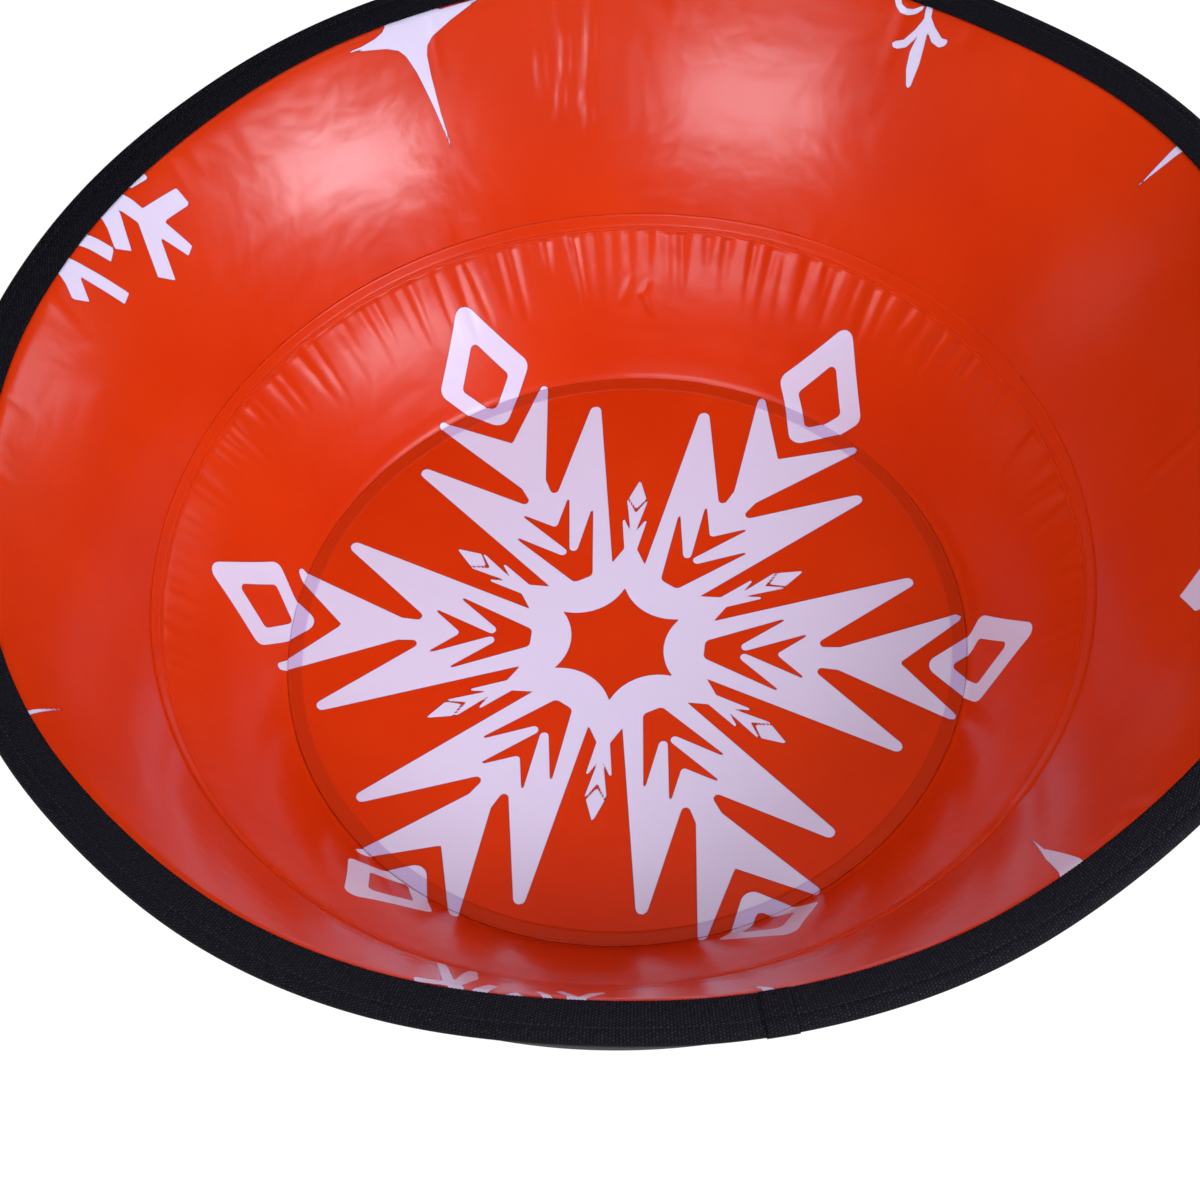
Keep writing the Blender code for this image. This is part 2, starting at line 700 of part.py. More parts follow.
def bail_path():
    """(y, drop) points of the bail: along the axis, a smooth bend down, and straight through the grip."""
    eye = lug_eye(1).y
    start, end = eye - LUG_EYE_LENGTH / 2 - BAIL_STRAIGHT, GRIP_LENGTH / 2 + BAIL_LEAD
    points = [(eye + LUG_EYE_LENGTH / 2 - BAIL_SHY, 0.0)]
    for i in range(BAIL_STEPS + 1):
        t = i / BAIL_STEPS
        points.append((start + (end - start) * t, BAIL_REACH * t * t * (3 - 2 * t)))
    return points + [(-y, drop) for y, drop in reversed(points)]


def make_bail():
    curve = bpy.data.curves.new("bail", "CURVE")
    curve.dimensions = "3D"
    curve.bevel_depth = BAIL_RADIUS
    curve.bevel_resolution = ROUND_WIRE
    curve.use_fill_caps = True
    spline = curve.splines.new("POLY")
    path = bail_path()
    spline.points.add(len(path) - 1)
    for point, (y, drop) in zip(spline.points, path):
        point.co = (0, y, -drop, 1)
    source = bpy.data.objects.new("bail_curve", curve)
    bpy.context.scene.collection.objects.link(source)
    source.location = (lug_eye(1).x, 0, lug_eye(1).z)
    return as_mesh_object(source, "bail")


def make_grip():
    """A sleeve on the straight of the bail, with shallow finger grooves."""
    half = GRIP_LENGTH / 2
    bore = BAIL_RADIUS + GRIP_CLEARANCE
    shoulder = GRIP_RADIUS - GRIP_SHOULDER
    outline = [(bore, half), (shoulder, half), (GRIP_RADIUS, half - GRIP_SHOULDER)]
    pitch = (GRIP_LENGTH - 2 * GRIP_PLAIN_END) / GRIP_GROOVES
    for i in range(GRIP_GROOVES):
        middle = half - GRIP_PLAIN_END - pitch * (i + 0.5)
        for shift, depth in GRIP_GROOVE_SHAPE:
            outline.append((GRIP_RADIUS - GRIP_GROOVE_DEPTH * depth, middle + pitch * shift))
    outline += [(GRIP_RADIUS, GRIP_SHOULDER - half), (shoulder, -half), (bore, -half)]
    lying = Matrix.Rotation(math.radians(-90), 4, "X")
    at = Matrix.Translation((lug_eye(1).x, 0, lug_eye(1).z - BAIL_REACH))
    return lathe("grip", outline, moulded_rubber(), at @ lying, GRIP_SIDES)


def make_handles():
    """The handle at +X, and its copy turned half round at -X."""
    axis = Vector((lug_eye(1).x, 0, lug_eye(1).z))
    parts = [
        ("_bail", make_bail(), woven_tape(), axis),
        ("_grip", as_mesh_object(make_grip(), "grip"), moulded_rubber(), axis),
        ("_lug_front", make_lug(-1), moulded_rubber(), lug_eye(-1)),
        ("_lug_rear", make_lug(1), moulded_rubber(), lug_eye(1)),
    ]
    for suffix, part, material, origin in parts:
        part.data.transform(Matrix.Translation(-origin) @ part.matrix_world)
        for name, angle in (("handle_right", 0), ("handle_left", 180)):
            turn = Matrix.Rotation(math.radians(angle), 4, "Z")
            copy = bpy.data.objects.new(name + suffix, part.data.copy())
            copy.matrix_world = turn @ Matrix.Translation(origin)
            place(copy, material)
        bpy.data.objects.remove(part, do_unlink=True)


def rounded(width, height, radius, steps=4):
    """A rectangle's outline with round corners."""
    points = []
    for cx, cy, start in ((1, 1, 0), (-1, 1, 90), (-1, -1, 180), (1, -1, 270)):
        for i in range(steps + 1):
            angle = math.radians(start + 90 * i / steps)
            points.append(
                (
                    cx * (width / 2 - radius) + radius * math.cos(angle),
                    cy * (height / 2 - radius) + radius * math.sin(angle),
                )
            )
    return points


def ring_height():
    """Height of the D ring's bar above the cover."""
    return 3 * GAP + TOW_PATCH_THICKNESS + TOW_STRAP_THICKNESS + RING_WIRE_RADIUS


def make_tow_point():
    """A patch on the cover, a strap that loops round the bar of a D ring, and the ring."""
    face = side_frame(TOW_AZIMUTH, GAP + TOW_PATCH_THICKNESS / 2)
    outline = rounded(TOW_PATCH_WIDTH, TOW_PATCH_HEIGHT, TOW_PATCH_CORNER)
    extruded("tow_patch", outline, TOW_PATCH_THICKNESS, cover_fabric(), face)
    make_tow_strap()
    make_tow_ring()


def make_tow_strap():
    """The strap's side view: two tails flat on the patch and a loop round the bar."""
    floor = GAP + TOW_PATCH_THICKNESS + GAP
    inner = RING_WIRE_RADIUS + GAP
    outer = inner + TOW_STRAP_THICKNESS
    middle = ring_height()
    tail = floor + TOW_STRAP_THICKNESS
    spread = math.asin((middle - tail) / outer)
    loop = []
    for i in range(TOW_LOOP_STEPS + 1):
        angle = -spread + (math.pi + 2 * spread) * i / TOW_LOOP_STEPS
        loop.append((outer * math.cos(angle), middle + outer * math.sin(angle)))
    outline = [(TOW_STRAP_TAIL, floor), (TOW_STRAP_TAIL, tail)] + loop
    outline += [(-TOW_STRAP_TAIL, tail), (-TOW_STRAP_TAIL, floor)]
    turns = [-2 * math.pi * i / TOW_EYE_SIDES for i in range(TOW_EYE_SIDES)]
    eye = [(inner * math.cos(a), middle + inner * math.sin(a)) for a in turns]
    frame = side_frame(TOW_AZIMUTH)
    edgewise = Matrix(((0, 0, 1, 0), (1, 0, 0, 0), (0, 1, 0, 0), (0, 0, 0, 1)))
    return extruded("tow_strap", [outline, eye], TOW_STRAP_WIDTH, woven_tape(), frame @ edgewise)


def make_tow_ring():
    """A D ring that hangs straight down from its bar; the origin is on the bar's axis."""
    curve = bpy.data.curves.new("tow_ring", "CURVE")
    curve.dimensions = "3D"
    curve.bevel_depth = RING_WIRE_RADIUS
    curve.bevel_resolution = ROUND_WIRE
    spline = curve.splines.new("POLY")
    half = RING_BAR / 2
    path = [(half - RING_CORNER, 0)]
    for angle in map(math.radians, RING_CORNER_ANGLES):
        x = half - RING_CORNER + RING_CORNER * math.sin(angle)
        path.append((x, RING_CORNER * math.cos(angle) - RING_CORNER))
    mirrored = [(-x, y) for x, y in reversed(path)]
    for i in range(RING_BOW_STEPS + 1):
        angle = math.pi * i / RING_BOW_STEPS
        path.append((half * math.cos(angle), -RING_DROP - half * math.sin(angle)))
    path += mirrored
    spline.points.add(len(path) - 1)
    for point, (x, y) in zip(spline.points, path):
        point.co = (x, 0, y, 1)
    spline.use_cyclic_u = True
    source = bpy.data.objects.new("ring_curve", curve)
    bpy.context.scene.collection.objects.link(source)
    ring = as_mesh_object(source, "tow_ring")
    frame = side_frame(TOW_AZIMUTH)
    ring.matrix_world = Matrix.Translation(frame @ Vector((0, 0, ring_height())))
    return place(ring, ring_steel())


def smooth_round_pieces():
    for item in bpy.data.collections[COLLECTION].objects:
        if item.type == "MESH" and not item.modifiers:
            item.data.shade_smooth()
            item.data.set_sharp_from_angle(angle=math.radians(CREASE))


def main():
    clear_scene()
    make_seat_floor()
    make_seat_skirt()
    _, outer, cover = make_air_wall()
    make_cover_base()
    make_chamber_webs()
    make_rim_tape()
    make_tape_joint()
    make_valve()
    cut_valve_holes(outer, cover)
    make_handles()
    make_tow_point()
    smooth_round_pieces()


main()
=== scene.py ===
# %% [markdown]
# # A snow tube with a printed seat
#
# The object is an inflated ring of PVC film, seen from above into its bowl.
# A flat printed floor is welded to a gathered skirt, the skirt is welded to the
# inner wall, and a black woven tape binds the rim. Under it a fabric cover
# carries two handles and a tow ring. The CAD model gives every size; this
# script only gives each piece its true surface.

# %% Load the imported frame
import math

import bmesh
import bpy
import numpy as np
from mathutils import Matrix, Vector


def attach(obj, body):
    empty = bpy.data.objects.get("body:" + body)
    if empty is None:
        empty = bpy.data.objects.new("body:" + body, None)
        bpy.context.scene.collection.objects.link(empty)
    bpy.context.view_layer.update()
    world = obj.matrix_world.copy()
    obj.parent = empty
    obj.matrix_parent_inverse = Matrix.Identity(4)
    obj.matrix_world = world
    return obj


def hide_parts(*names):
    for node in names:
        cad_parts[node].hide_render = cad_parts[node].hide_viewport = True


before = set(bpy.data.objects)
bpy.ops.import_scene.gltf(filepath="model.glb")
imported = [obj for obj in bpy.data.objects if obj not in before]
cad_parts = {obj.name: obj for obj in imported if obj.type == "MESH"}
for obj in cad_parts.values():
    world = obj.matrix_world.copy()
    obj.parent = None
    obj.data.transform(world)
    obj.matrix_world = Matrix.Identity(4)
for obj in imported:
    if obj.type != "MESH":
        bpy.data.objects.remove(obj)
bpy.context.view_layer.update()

MM = 0.001
scene = bpy.context.scene

# %% [markdown]
# ## The camera
#
# The photograph looks down into the bowl from the near side. The place and the
# turn of the camera were worked out from the ellipses of the floor, the weld
# ring and the tape. The camera is rolled by six degrees, so it is built from
# its three directions and not from a point that it looks at.

# %% The camera of the photograph
CAMERA_PLACE = Vector((-0.0100, -1.1659, 1.7838))
CAMERA_PITCH, CAMERA_YAW, CAMERA_ROLL = 55.13, -0.89, -6.06  # degrees
IMAGE_SIDE = 1200
FOCAL_PIXELS = 2594.0


def camera_directions(pitch, yaw, roll):
    """Right, up and forward of a camera, from its angles in degrees."""
    p, y, r = (math.radians(a) for a in (pitch, yaw, roll))
    forward = Vector((math.sin(y) * math.cos(p), math.cos(y) * math.cos(p), -math.sin(p)))
    level = forward.cross(Vector((0, 0, 1))).normalized()
    upright = level.cross(forward)
    right = level * math.cos(r) + upright * math.sin(r)
    return right, upright * math.cos(r) - level * math.sin(r), forward


right, up, forward = camera_directions(CAMERA_PITCH, CAMERA_YAW, CAMERA_ROLL)
camera_data = bpy.data.cameras.new("camera")
camera_data.sensor_width = 36.0
camera_data.lens = FOCAL_PIXELS / IMAGE_SIDE * camera_data.sensor_width
camera_data.clip_start, camera_data.clip_end = 0.05, 30.0
camera = bpy.data.objects.new("camera", camera_data)
scene.collection.objects.link(camera)
camera.matrix_world = Matrix.Translation(CAMERA_PLACE) @ Matrix(
    (right, up, -forward)
).transposed().to_4x4()
scene.camera = camera
print("lens", round(camera_data.lens, 1), "mm")

# %% [markdown]
# ## The sag of an air-filled ring
#
# A blown-up ring never stays a perfect circle: the rim of this one has moved
# a little to the back right of its floor, and it is tilted by about a degree.
# One function moves every skin by the same smooth amount, so skins that touch
# stay in touch. Below the weld the inner skins move as one, and the cover
# stays where its fittings are.

# %% The sag of the skins
FLOOR_SHIFT = np.array([-0.0115, -0.0074])  # metres
RIM_SHIFT = np.array([0.0104, 0.0057])      # metres
RIM_TILT = np.array([0.0184, -0.0120])      # metres of rise to a metre across
WELD_HEIGHT, WALL_TOP, RIM_TOP = 0.1604, 0.3233, 0.3321
COVER_SAG_START, WALL_FOOT = 0.215, 0.006
# (waves round the rim, height in metres, phase): they pull the rim in most at its right
RIM_WAVES = [(2, 0.00121, 1.06), (3, 0.00288, -1.70), (4, 0.00253, -1.49),
             (5, 0.00123, -0.98), (6, 0.00166, -1.02), (7, 0.00237, -1.10),
             (8, 0.00213, -1.25), (11, 0.0003, 0.2), (17, 0.0002, 2.9)]


def smooth(t):
    t = np.clip(t, 0.0, 1.0)
    return t * t * (3 - 2 * t)


def sag(points, cover=False, low_from=None):
    """Moves points of a skin sideways by height, and tilts the part near the rim. The
    wall leans evenly from the weld up; the cover stands still up to COVER_SAG_START."""
    p = np.array(points, dtype=float)
    z = p[:, 2].copy()
    if cover:
        low_shift = (0.0, 0.0)
        rise = smooth((z - COVER_SAG_START) / (RIM_TOP - COVER_SAG_START))
    else:
        low_shift = FLOOR_SHIFT
        rise = np.clip((z - WELD_HEIGHT) / (WALL_TOP - WELD_HEIGHT), 0, 1)
    low = 1.0 if low_from is None else smooth((z - low_from) / (WELD_HEIGHT - low_from))
    angle = np.arctan2(p[:, 1], p[:, 0])
    wave = sum(size * np.sin(count * angle + phase) for count, size, phase in RIM_WAVES)
    grow = 1 + rise * wave / np.maximum(np.hypot(p[:, 0], p[:, 1]), 0.05)
    x, y = p[:, 0].copy(), p[:, 1].copy()
    p[:, 0] = x * grow + low_shift[0] * low * (1 - rise) + RIM_SHIFT[0] * rise
    p[:, 1] = y * grow + low_shift[1] * low * (1 - rise) + RIM_SHIFT[1] * rise
    p[:, 2] += rise * (RIM_TILT[0] * x + RIM_TILT[1] * y)
    return p


# %% Meshes of turned skins
def resample(corners, step):
    """Points on the line through the corners, about a step apart, corners kept."""
    corners = np.array(corners, dtype=float)
    out = [corners[0]]
    for a, b in zip(corners[:-1], corners[1:]):
        count = max(1, int(round(np.hypot(*(b - a)) / step)))
        out += [a + (b - a) * (i + 1) / count for i in range(count)]
    return np.array(out)


def rounded_line(corners, step, passes):
    """A resampled line whose corners are softened by averaging, with fixed ends."""
    line = resample(corners, step)
    for _ in range(passes):
        line[1:-1] = line[1:-1] * 0.5 + (line[:-2] + line[2:]) * 0.25
    return line


def along(line):
    return np.concatenate([[0.0], np.cumsum(np.hypot(*np.diff(line, axis=0).T))])


def normals_of(line):
    """Unit normals on the left of a line in the (radius, height) plane."""
    d = np.gradient(line, axis=0)
    d /= np.linalg.norm(d, axis=1)[:, None]
    return np.stack([-d[:, 1], d[:, 0]], axis=1)


def mesh_piece(name, points, faces, flat=False):
    mesh = bpy.data.meshes.new(name)
    mesh.from_pydata(np.asarray(points).tolist(), [], [list(f) for f in faces])
    mesh.update()
    if not flat:
        mesh.polygons.foreach_set("use_smooth", np.ones(len(mesh.polygons), dtype=bool))
    piece = bpy.data.objects.new(name, mesh)
    scene.collection.objects.link(piece)
    return piece


def points_of(piece):
    """The points of a mesh piece, as rows of x, y, z."""
    flat = np.empty(len(piece.data.vertices) * 3)
    piece.data.vertices.foreach_get("co", flat)
    return flat.reshape(-1, 3)


def move_points(piece, points):
    piece.data.vertices.foreach_set("co", points.ravel())
    piece.data.update()


def loop_faces(columns, rows):
    """Quads of a closed tube: rows go round the section, columns round the axis."""
    i, j = np.meshgrid(np.arange(rows), np.arange(columns), indexing="ij")
    a, b = i * columns + j, i * columns + (j + 1) % columns
    c, d = ((i + 1) % rows) * columns + (j + 1) % columns, ((i + 1) % rows) * columns + j
    return np.stack([a, b, c, d], axis=-1).reshape(-1, 4)


def turned_skin(front, back, thickness, columns, relief=None):
    """A thin closed skin of revolution. front and back are (radius, height) lines of
    its seen face: the front with many rows, the back with few. relief(angle, along)
    lifts both by the same amount. columns is a count, or the angles themselves.
    Returns points and faces, with angle, distance along and side per point."""
    rows, lift, run, side = [], [], [], []
    for line, depth, reverse in ((front, 0.0, False), (back, thickness, True)):
        n, s = normals_of(line), along(line)
        seen = line - n * depth
        order = slice(None, None, -1) if reverse else slice(None)
        rows.append(seen[order])
        lift.append(n[order])
        run.append(s[order])
        side.append(np.full(len(line), int(reverse)))
    rows, lift, run, side = map(np.concatenate, (rows, lift, run, side))
    if np.isscalar(columns):
        columns = np.arange(columns) * 2 * math.pi / columns
    angle, columns = np.asarray(columns), len(columns)
    a, s = np.meshgrid(angle, run)
    up_by = relief(a, s) if relief else np.zeros_like(a)
    radius = rows[:, 0][:, None] + lift[:, 0][:, None] * up_by
    height = rows[:, 1][:, None] + lift[:, 1][:, None] * up_by
    points = np.stack([radius * np.cos(a), radius * np.sin(a), height], -1).reshape(-1, 3)
    faces = loop_faces(columns, len(rows))
    return points, faces, a.ravel(), s.ravel(), np.repeat(side, columns)


def face_out(points, faces):
    """Turns all faces over where the closed mesh would be inside out."""
    f = np.asarray(faces)
    a, b, c, d = (np.asarray(points)[f[:, i]] for i in range(4))
    volume = np.einsum("ij,ij->", a, np.cross(b, c) + np.cross(c, d))
    return f if volume > 0 else f[:, ::-1]


def store(piece, name, values):
    layer = piece.data.attributes.new(name, "FLOAT", "POINT")
    layer.data.foreach_set("value", np.asarray(values, dtype=np.float32))


# %% [markdown]
# ## The printed snowflake
#
# The seat is screen printed before it is cut and welded, so the print lies in
# the flat sheet and bends with it. It is drawn here as a few outlines in
# millimetres on the flat sheet. Each point of the mesh then stores how far it
# is from the nearest outline, positive inside the ink, and the material turns
# that one number into a sharp edge. A picture would do the same, but it would
# be blurred up close, and it would have to be drawn somewhere else.

# %% Outlines with rounded corners
def rounded(corners, steps=5):
    """A closed outline from (x, y, radius) corners; each corner becomes an arc."""
    out = []
    for i, (x, y, radius) in enumerate(corners):
        here = np.array([x, y])
        before = np.array(corners[i - 1][:2]) - here
        after = np.array(corners[(i + 1) % len(corners)][:2]) - here
        reach = min(np.hypot(*before), np.hypot(*after)) * 0.48
        before, after = before / np.hypot(*before), after / np.hypot(*after)
        half = math.acos(float(np.clip(before @ after, -1, 1))) / 2
        if radius <= 0 or half < 0.02 or half > 1.55:
            out.append(here)
            continue
        tangent = min(radius / math.tan(half), reach)
        radius = tangent * math.tan(half)
        middle = (before + after) / np.hypot(*(before + after))
        centre = here + middle * (radius / math.sin(half))
        start, end = here + before * tangent - centre, here + after * tangent - centre
        a0 = math.atan2(start[1], start[0])
        turn = (math.atan2(end[1], end[0]) - a0 + math.pi) % (2 * math.pi) - math.pi
        for angle in a0 + turn * np.arange(steps + 1) / steps:
            out.append(centre + radius * np.array([math.cos(angle), math.sin(angle)]))
    return np.array(out)


def turned_by(outline, degrees):
    c, s = math.cos(math.radians(degrees)), math.sin(math.radians(degrees))
    return outline @ np.array([[c, s], [-s, c]])


def ink_depth(points, outlines, chunk=4000):
    """Distance in millimetres to the nearest outline, positive in the ink. A point is
    in the ink where it is inside an odd number of outlines."""
    a = np.concatenate(outlines)
    b = np.concatenate([np.roll(o, -1, axis=0) for o in outlines])
    d = b - a
    length2 = np.maximum((d * d).sum(1), 1e-12)
    out = np.empty(len(points))
    for i in range(0, len(points), chunk):
        p = points[i:i + chunk, None, :]
        t = np.clip(((p - a) * d).sum(2) / length2, 0, 1)
        near = np.sqrt((((p - a) - t[..., None] * d) ** 2).sum(2).min(1))
        spans = (a[:, 1] > p[..., 1]) != (b[:, 1] > p[..., 1])
        climb = np.where(np.abs(d[:, 1]) < 1e-12, 1e-12, d[:, 1])
        cross = a[:, 0] + (p[..., 1] - a[:, 1]) * d[:, 0] / climb
        inside = (spans & (p[..., 0] < cross)).sum(1) % 2 == 1
        out[i:i + chunk] = np.where(inside, near, -near)
    return out


# %% The outlines of the big snowflake, one arm in millimetres
# x runs out along the arm from the middle of the star, y across it.
STAR_CENTRE = np.array([-6.4, -1.2])      # from the middle of the floor disc
FIRST_ARM = 108.94                        # degrees, counter-clockwise from +X
ARMS = [FIRST_ARM - 60 * k for k in range(6)]


def twig(along_axis, beside):
    """A point given along the line between two arms, in the frame of the arm."""
    c, s = math.cos(math.radians(30)), math.sin(math.radians(30))
    return along_axis * c + beside * s, along_axis * s - beside * c


HALF_ARM = [
    (225.2, 0.0, 1.0),                     # valley of the fork
    (283.2, 56.8, 3.3),                    # fork prong
    (177.3, 10.8, 0.5),
    (153.9, 9.2, 3.6),                     # notch behind the long spike
    (249.9, 90.8, 4.7),                    # long spike
    (*twig(78.6, 13.4), 0.0),
    (*twig(93.4, 5.3), 0.3),               # neck of the twig
    (*twig(127.8, 11.0), 1.0),
    (*twig(110.8, 2.1), 0.3),
    (*twig(146.6, 9.4), 0.7),
]
TWIG_TOP = (*twig(130.2, 0.0), 0.3)


def mirrored(corners):
    return [(x, -y, r) for x, y, r in reversed(corners)]


arm_corners = mirrored(HALF_ARM)[:-1] + HALF_ARM + [TWIG_TOP]
body_corners = []
for degrees in reversed(ARMS):
    c, s = math.cos(math.radians(degrees)), math.sin(math.radians(degrees))
    body_corners += [(x * c - y * s, x * s + y * c, r) for x, y, r in arm_corners]

# each arm also has a cut out arrow, a diamond with a hole, and a bud between the arms
half_cut = [(70.0, 8.1, 5.0), (136.2, 36.7, 1.0), (81.2, -7.7, 3.5), (154.7, 23.0, 1.0)]
cut_out = rounded(half_cut + [(127.2, 0.0, 3.0)] + mirrored(half_cut))


def kite(far, wide_at, half_width, near, radius):
    """A kite along the arm, from its far point to its near one."""
    return rounded([(far, 0, radius), (wide_at, half_width, radius),
                    (near, 0, radius), (wide_at, -half_width, radius)])


diamond = kite(364.0, 293.8, 42.8, 242.8, 9.5)
diamond_hole = kite(328.0, 291.0, 22.0, 264.6, 4.5)
bud = kite(165.0, 145.3, 7.2, 134.4, 0.8)

# the hole in the middle is a star of six arcs that bow inwards
HOLE_POINT, HOLE_MIDDLE = 54.5, 37.4      # radius of the points and of the arcs between
half_chord = HOLE_POINT * math.sin(math.radians(30))
bow = HOLE_POINT * math.cos(math.radians(30)) - HOLE_MIDDLE
hole_radius = (half_chord ** 2 + bow ** 2) / (2 * bow)
hole_reach = math.asin(half_chord / hole_radius)
hole = []
for degrees in reversed(ARMS):
    for k in range(10):
        t = math.pi + hole_reach - 2 * hole_reach * k / 10
        x = HOLE_MIDDLE + hole_radius + hole_radius * math.cos(t)
        y = hole_radius * math.sin(t)
        hole.append(turned_by(np.array([x, y]), degrees))
star_hole = np.array(hole)

SNOWFLAKE = [rounded(body_corners), star_hole]
for degrees in ARMS:
    SNOWFLAKE += [turned_by(o, degrees) for o in (cut_out, diamond, diamond_hole)]
    SNOWFLAKE.append(turned_by(bud, degrees + 30))
print("snowflake:", len(SNOWFLAKE), "outlines,", sum(len(o) for o in SNOWFLAKE), "points")

# %% [markdown]
# ## The printed floor, the gathered skirt and the inner wall
#
# These three are what the photograph shows. Each is a thin closed skin turned
# from its section: many rows on the seen side, few on the hidden one. The
# skirt is a longer strip gathered onto a shorter seam, so its upper part has
# radial puckers that die out towards the floor. A cloth solver could make
# them, but it would need minutes and would not put them where the weld holds
# them, so they are placed one by one from a fixed seed.

# %% The three sections
VINYL = 1.0 * MM
FLOOR_EDGE, FLOOR_TOP = 0.2715, 0.0600
LAP_INNER = 0.2597
WELD = (0.3539, WELD_HEIGHT)
wall_run = np.array([0.382 - WELD[0], 0.2035 - WELD[1]])
wall_run /= np.hypot(*wall_run)
wall_face = np.array([-wall_run[1], wall_run[0]])
wall_low = np.array(WELD) - wall_face * 1.5 * MM
# the air pushes the wall into the bowl by a few millimetres between its two seams
BULGE, wall_top = 5.0 * MM, np.array((0.4645, WALL_TOP))
wall_length = float(np.hypot(*(wall_top - wall_low)))


def flange(reach, lift=0.0):
    """A point of the weld flange, which lies on the wall and follows its bulge."""
    t = reach / wall_length
    out = BULGE * math.sin(math.pi * t) + lift
    return np.array(WELD) + (wall_top - wall_low) * t + wall_face * out


# the floor's rows lie closest where the print has its finest lines, and at the lap
floor_front = np.vstack([
    resample([(0.0, FLOOR_TOP), (0.058, FLOOR_TOP)], 4.2 * MM),
    resample([(0.0596, FLOOR_TOP), (0.168, FLOOR_TOP)], 1.55 * MM),
    resample([(0.170, FLOOR_TOP), (LAP_INNER - 0.0008, FLOOR_TOP)], 1.9 * MM),
    [(LAP_INNER - 0.0002, FLOOR_TOP)],
    [(r, FLOOR_TOP + 0.0003) for r in (LAP_INNER + 0.0004, 0.2620, 0.2650, 0.2690, 0.2703)],
    [(FLOOR_EDGE - 0.0006, FLOOR_TOP + 0.0005), (FLOOR_EDGE, FLOOR_TOP + 0.0001)],
])
floor_back = resample([(0.0, FLOOR_TOP), (FLOOR_EDGE, FLOOR_TOP)], 60 * MM)
skirt_run = np.array([WELD[0] - 0.3300, WELD[1] - 0.1300])
skirt_run /= np.hypot(*skirt_run)
skirt_face = np.array([-skirt_run[1], skirt_run[0]])
SKIRT_BULGE, SKIRT_FOOT = 4.0 * MM, np.array((0.2748, 0.0614))


def puffed(points):
    """The air pushes the skirt out a little between the floor and the weld."""
    points = np.array(points, dtype=float)
    length = float((np.array(WELD) - SKIRT_FOOT) @ skirt_run)
    t = np.clip(((points - SKIRT_FOOT) @ skirt_run) / length, 0, 1)
    return points + (SKIRT_BULGE * np.sin(math.pi * t))[:, None] * skirt_face


# the hot bar of the welder leaves two fine beads along the kink, 2.4 mm apart
bead = MM * np.array([(-2.6, 0.0), (-2.0, 0.12), (-1.5, 0.5), (-1.2, 0.6), (-0.9, 0.5),
                      (-0.4, 0.12), (0.0, 0.0)])
skirt_front = np.vstack([
    resample([(LAP_INNER, 0.0582), (0.2700, 0.0582)], 3 * MM),
    puffed(rounded_line([(0.2714, 0.0588), (0.2726, 0.0598), (0.2748, 0.0614), (0.3000, 0.0915),
                         (0.3300, 0.1300), tuple(WELD - skirt_run * 2.6 * MM)], 1.9 * MM, 3)[:-1]),
    np.array(WELD) + bead[:, :1] * skirt_run + bead[:, 1:] * skirt_face,
    [flange(-reach, lift) for reach, lift in bead[-2::-1]],
    [flange(reach * MM, -0.02 * (reach - 2.6) * MM) for reach in (4.0, 6.0, 8.0, 10.0, 11.2)],
    [flange(11.7 * MM, -0.6 * MM), flange(12.0 * MM, -1.3 * MM)],
])
skirt_back = puffed(resample([(LAP_INNER, 0.0582), (0.2730, 0.0584), (0.3000, 0.0915), (0.3300, 0.1300),
                              WELD, tuple(flange(12.0 * MM, -1.3 * MM))], 12 * MM))
bulged = [wall_low + (wall_top - wall_low) * t + wall_face * BULGE * math.sin(math.pi * t)
          for t in np.linspace(0, 1, 9)]
wall_corners = [tuple(c) for c in bulged] + [(0.4706, 0.3298), (0.4760, 0.3303), (0.4935, 0.3300)]
hidden_wall = [(0.268, 0.0061), (0.280, 0.0061), (0.3400, 0.1300)]
wall_front = np.vstack([resample(hidden_wall, 16 * MM), rounded_line(wall_corners, 2.75 * MM, 3)])
wall_back = resample(hidden_wall + wall_corners, 17 * MM)
print("rows: floor", len(floor_front), "skirt", len(skirt_front), "wall", len(wall_front))

# %% Puckers of the gathered skirt
SKIRT_EDGE_RUN = float(np.interp(0.2716, skirt_front[:, 0], along(skirt_front)))
SKIRT_WELD_RUN = float(along(skirt_front)[np.argmin(np.hypot(*(skirt_front - WELD).T))])
pleats = np.random.default_rng(7)
PLEAT_COUNT = 128
pleat_place = np.arange(PLEAT_COUNT) + pleats.uniform(-0.36, 0.36, PLEAT_COUNT)
pleat_angle = pleat_place * 2 * math.pi / PLEAT_COUNT
far_side = (0.5 + 0.5 * np.sin(pleat_angle + 0.20)) ** 1.5
pleat_size = pleats.uniform(0.30, 1.0, PLEAT_COUNT) * (0.25 + 0.75 * far_side) * 2.3 * MM
pleat_length = pleats.uniform(36, 84, PLEAT_COUNT) * (0.65 + 0.35 * far_side) * MM
pleat_width = pleats.uniform(3.0, 6.2, PLEAT_COUNT) * MM
pleat_lean = pleats.normal(0, 0.06, PLEAT_COUNT)

# distances from the axis, in metres, at which widths of puckers and creases are measured
PUCKER_RADIUS, SKIRT_CREASE_RADIUS = 0.34, 0.345
TRACE_RADIUS, WALL_CREASE_RADIUS, RIM_PUCKER_RADIUS = 0.37, 0.44, 0.46
COVER_FOLD_RADIUS = 0.31

# single creases seen in the photograph: angle in degrees, from and to in millimetres
# off the weld, and how far they lean in millimetres per millimetre
SKIRT_CREASES = [(84.0, 40, 66, 0.35), (82.6, 52, 78, -0.45), (81.3, 44, 60, 0.5)]
WALL_CREASES = [(95.2, 105, 165, 0.05), (93.8, 85, 150, -0.12), (92.4, 120, 195, 0.10),
                (90.6, 90, 205, -0.06), (89.6, 75, 120, 0.15), (-3.0, 60, 150, 0.05)]


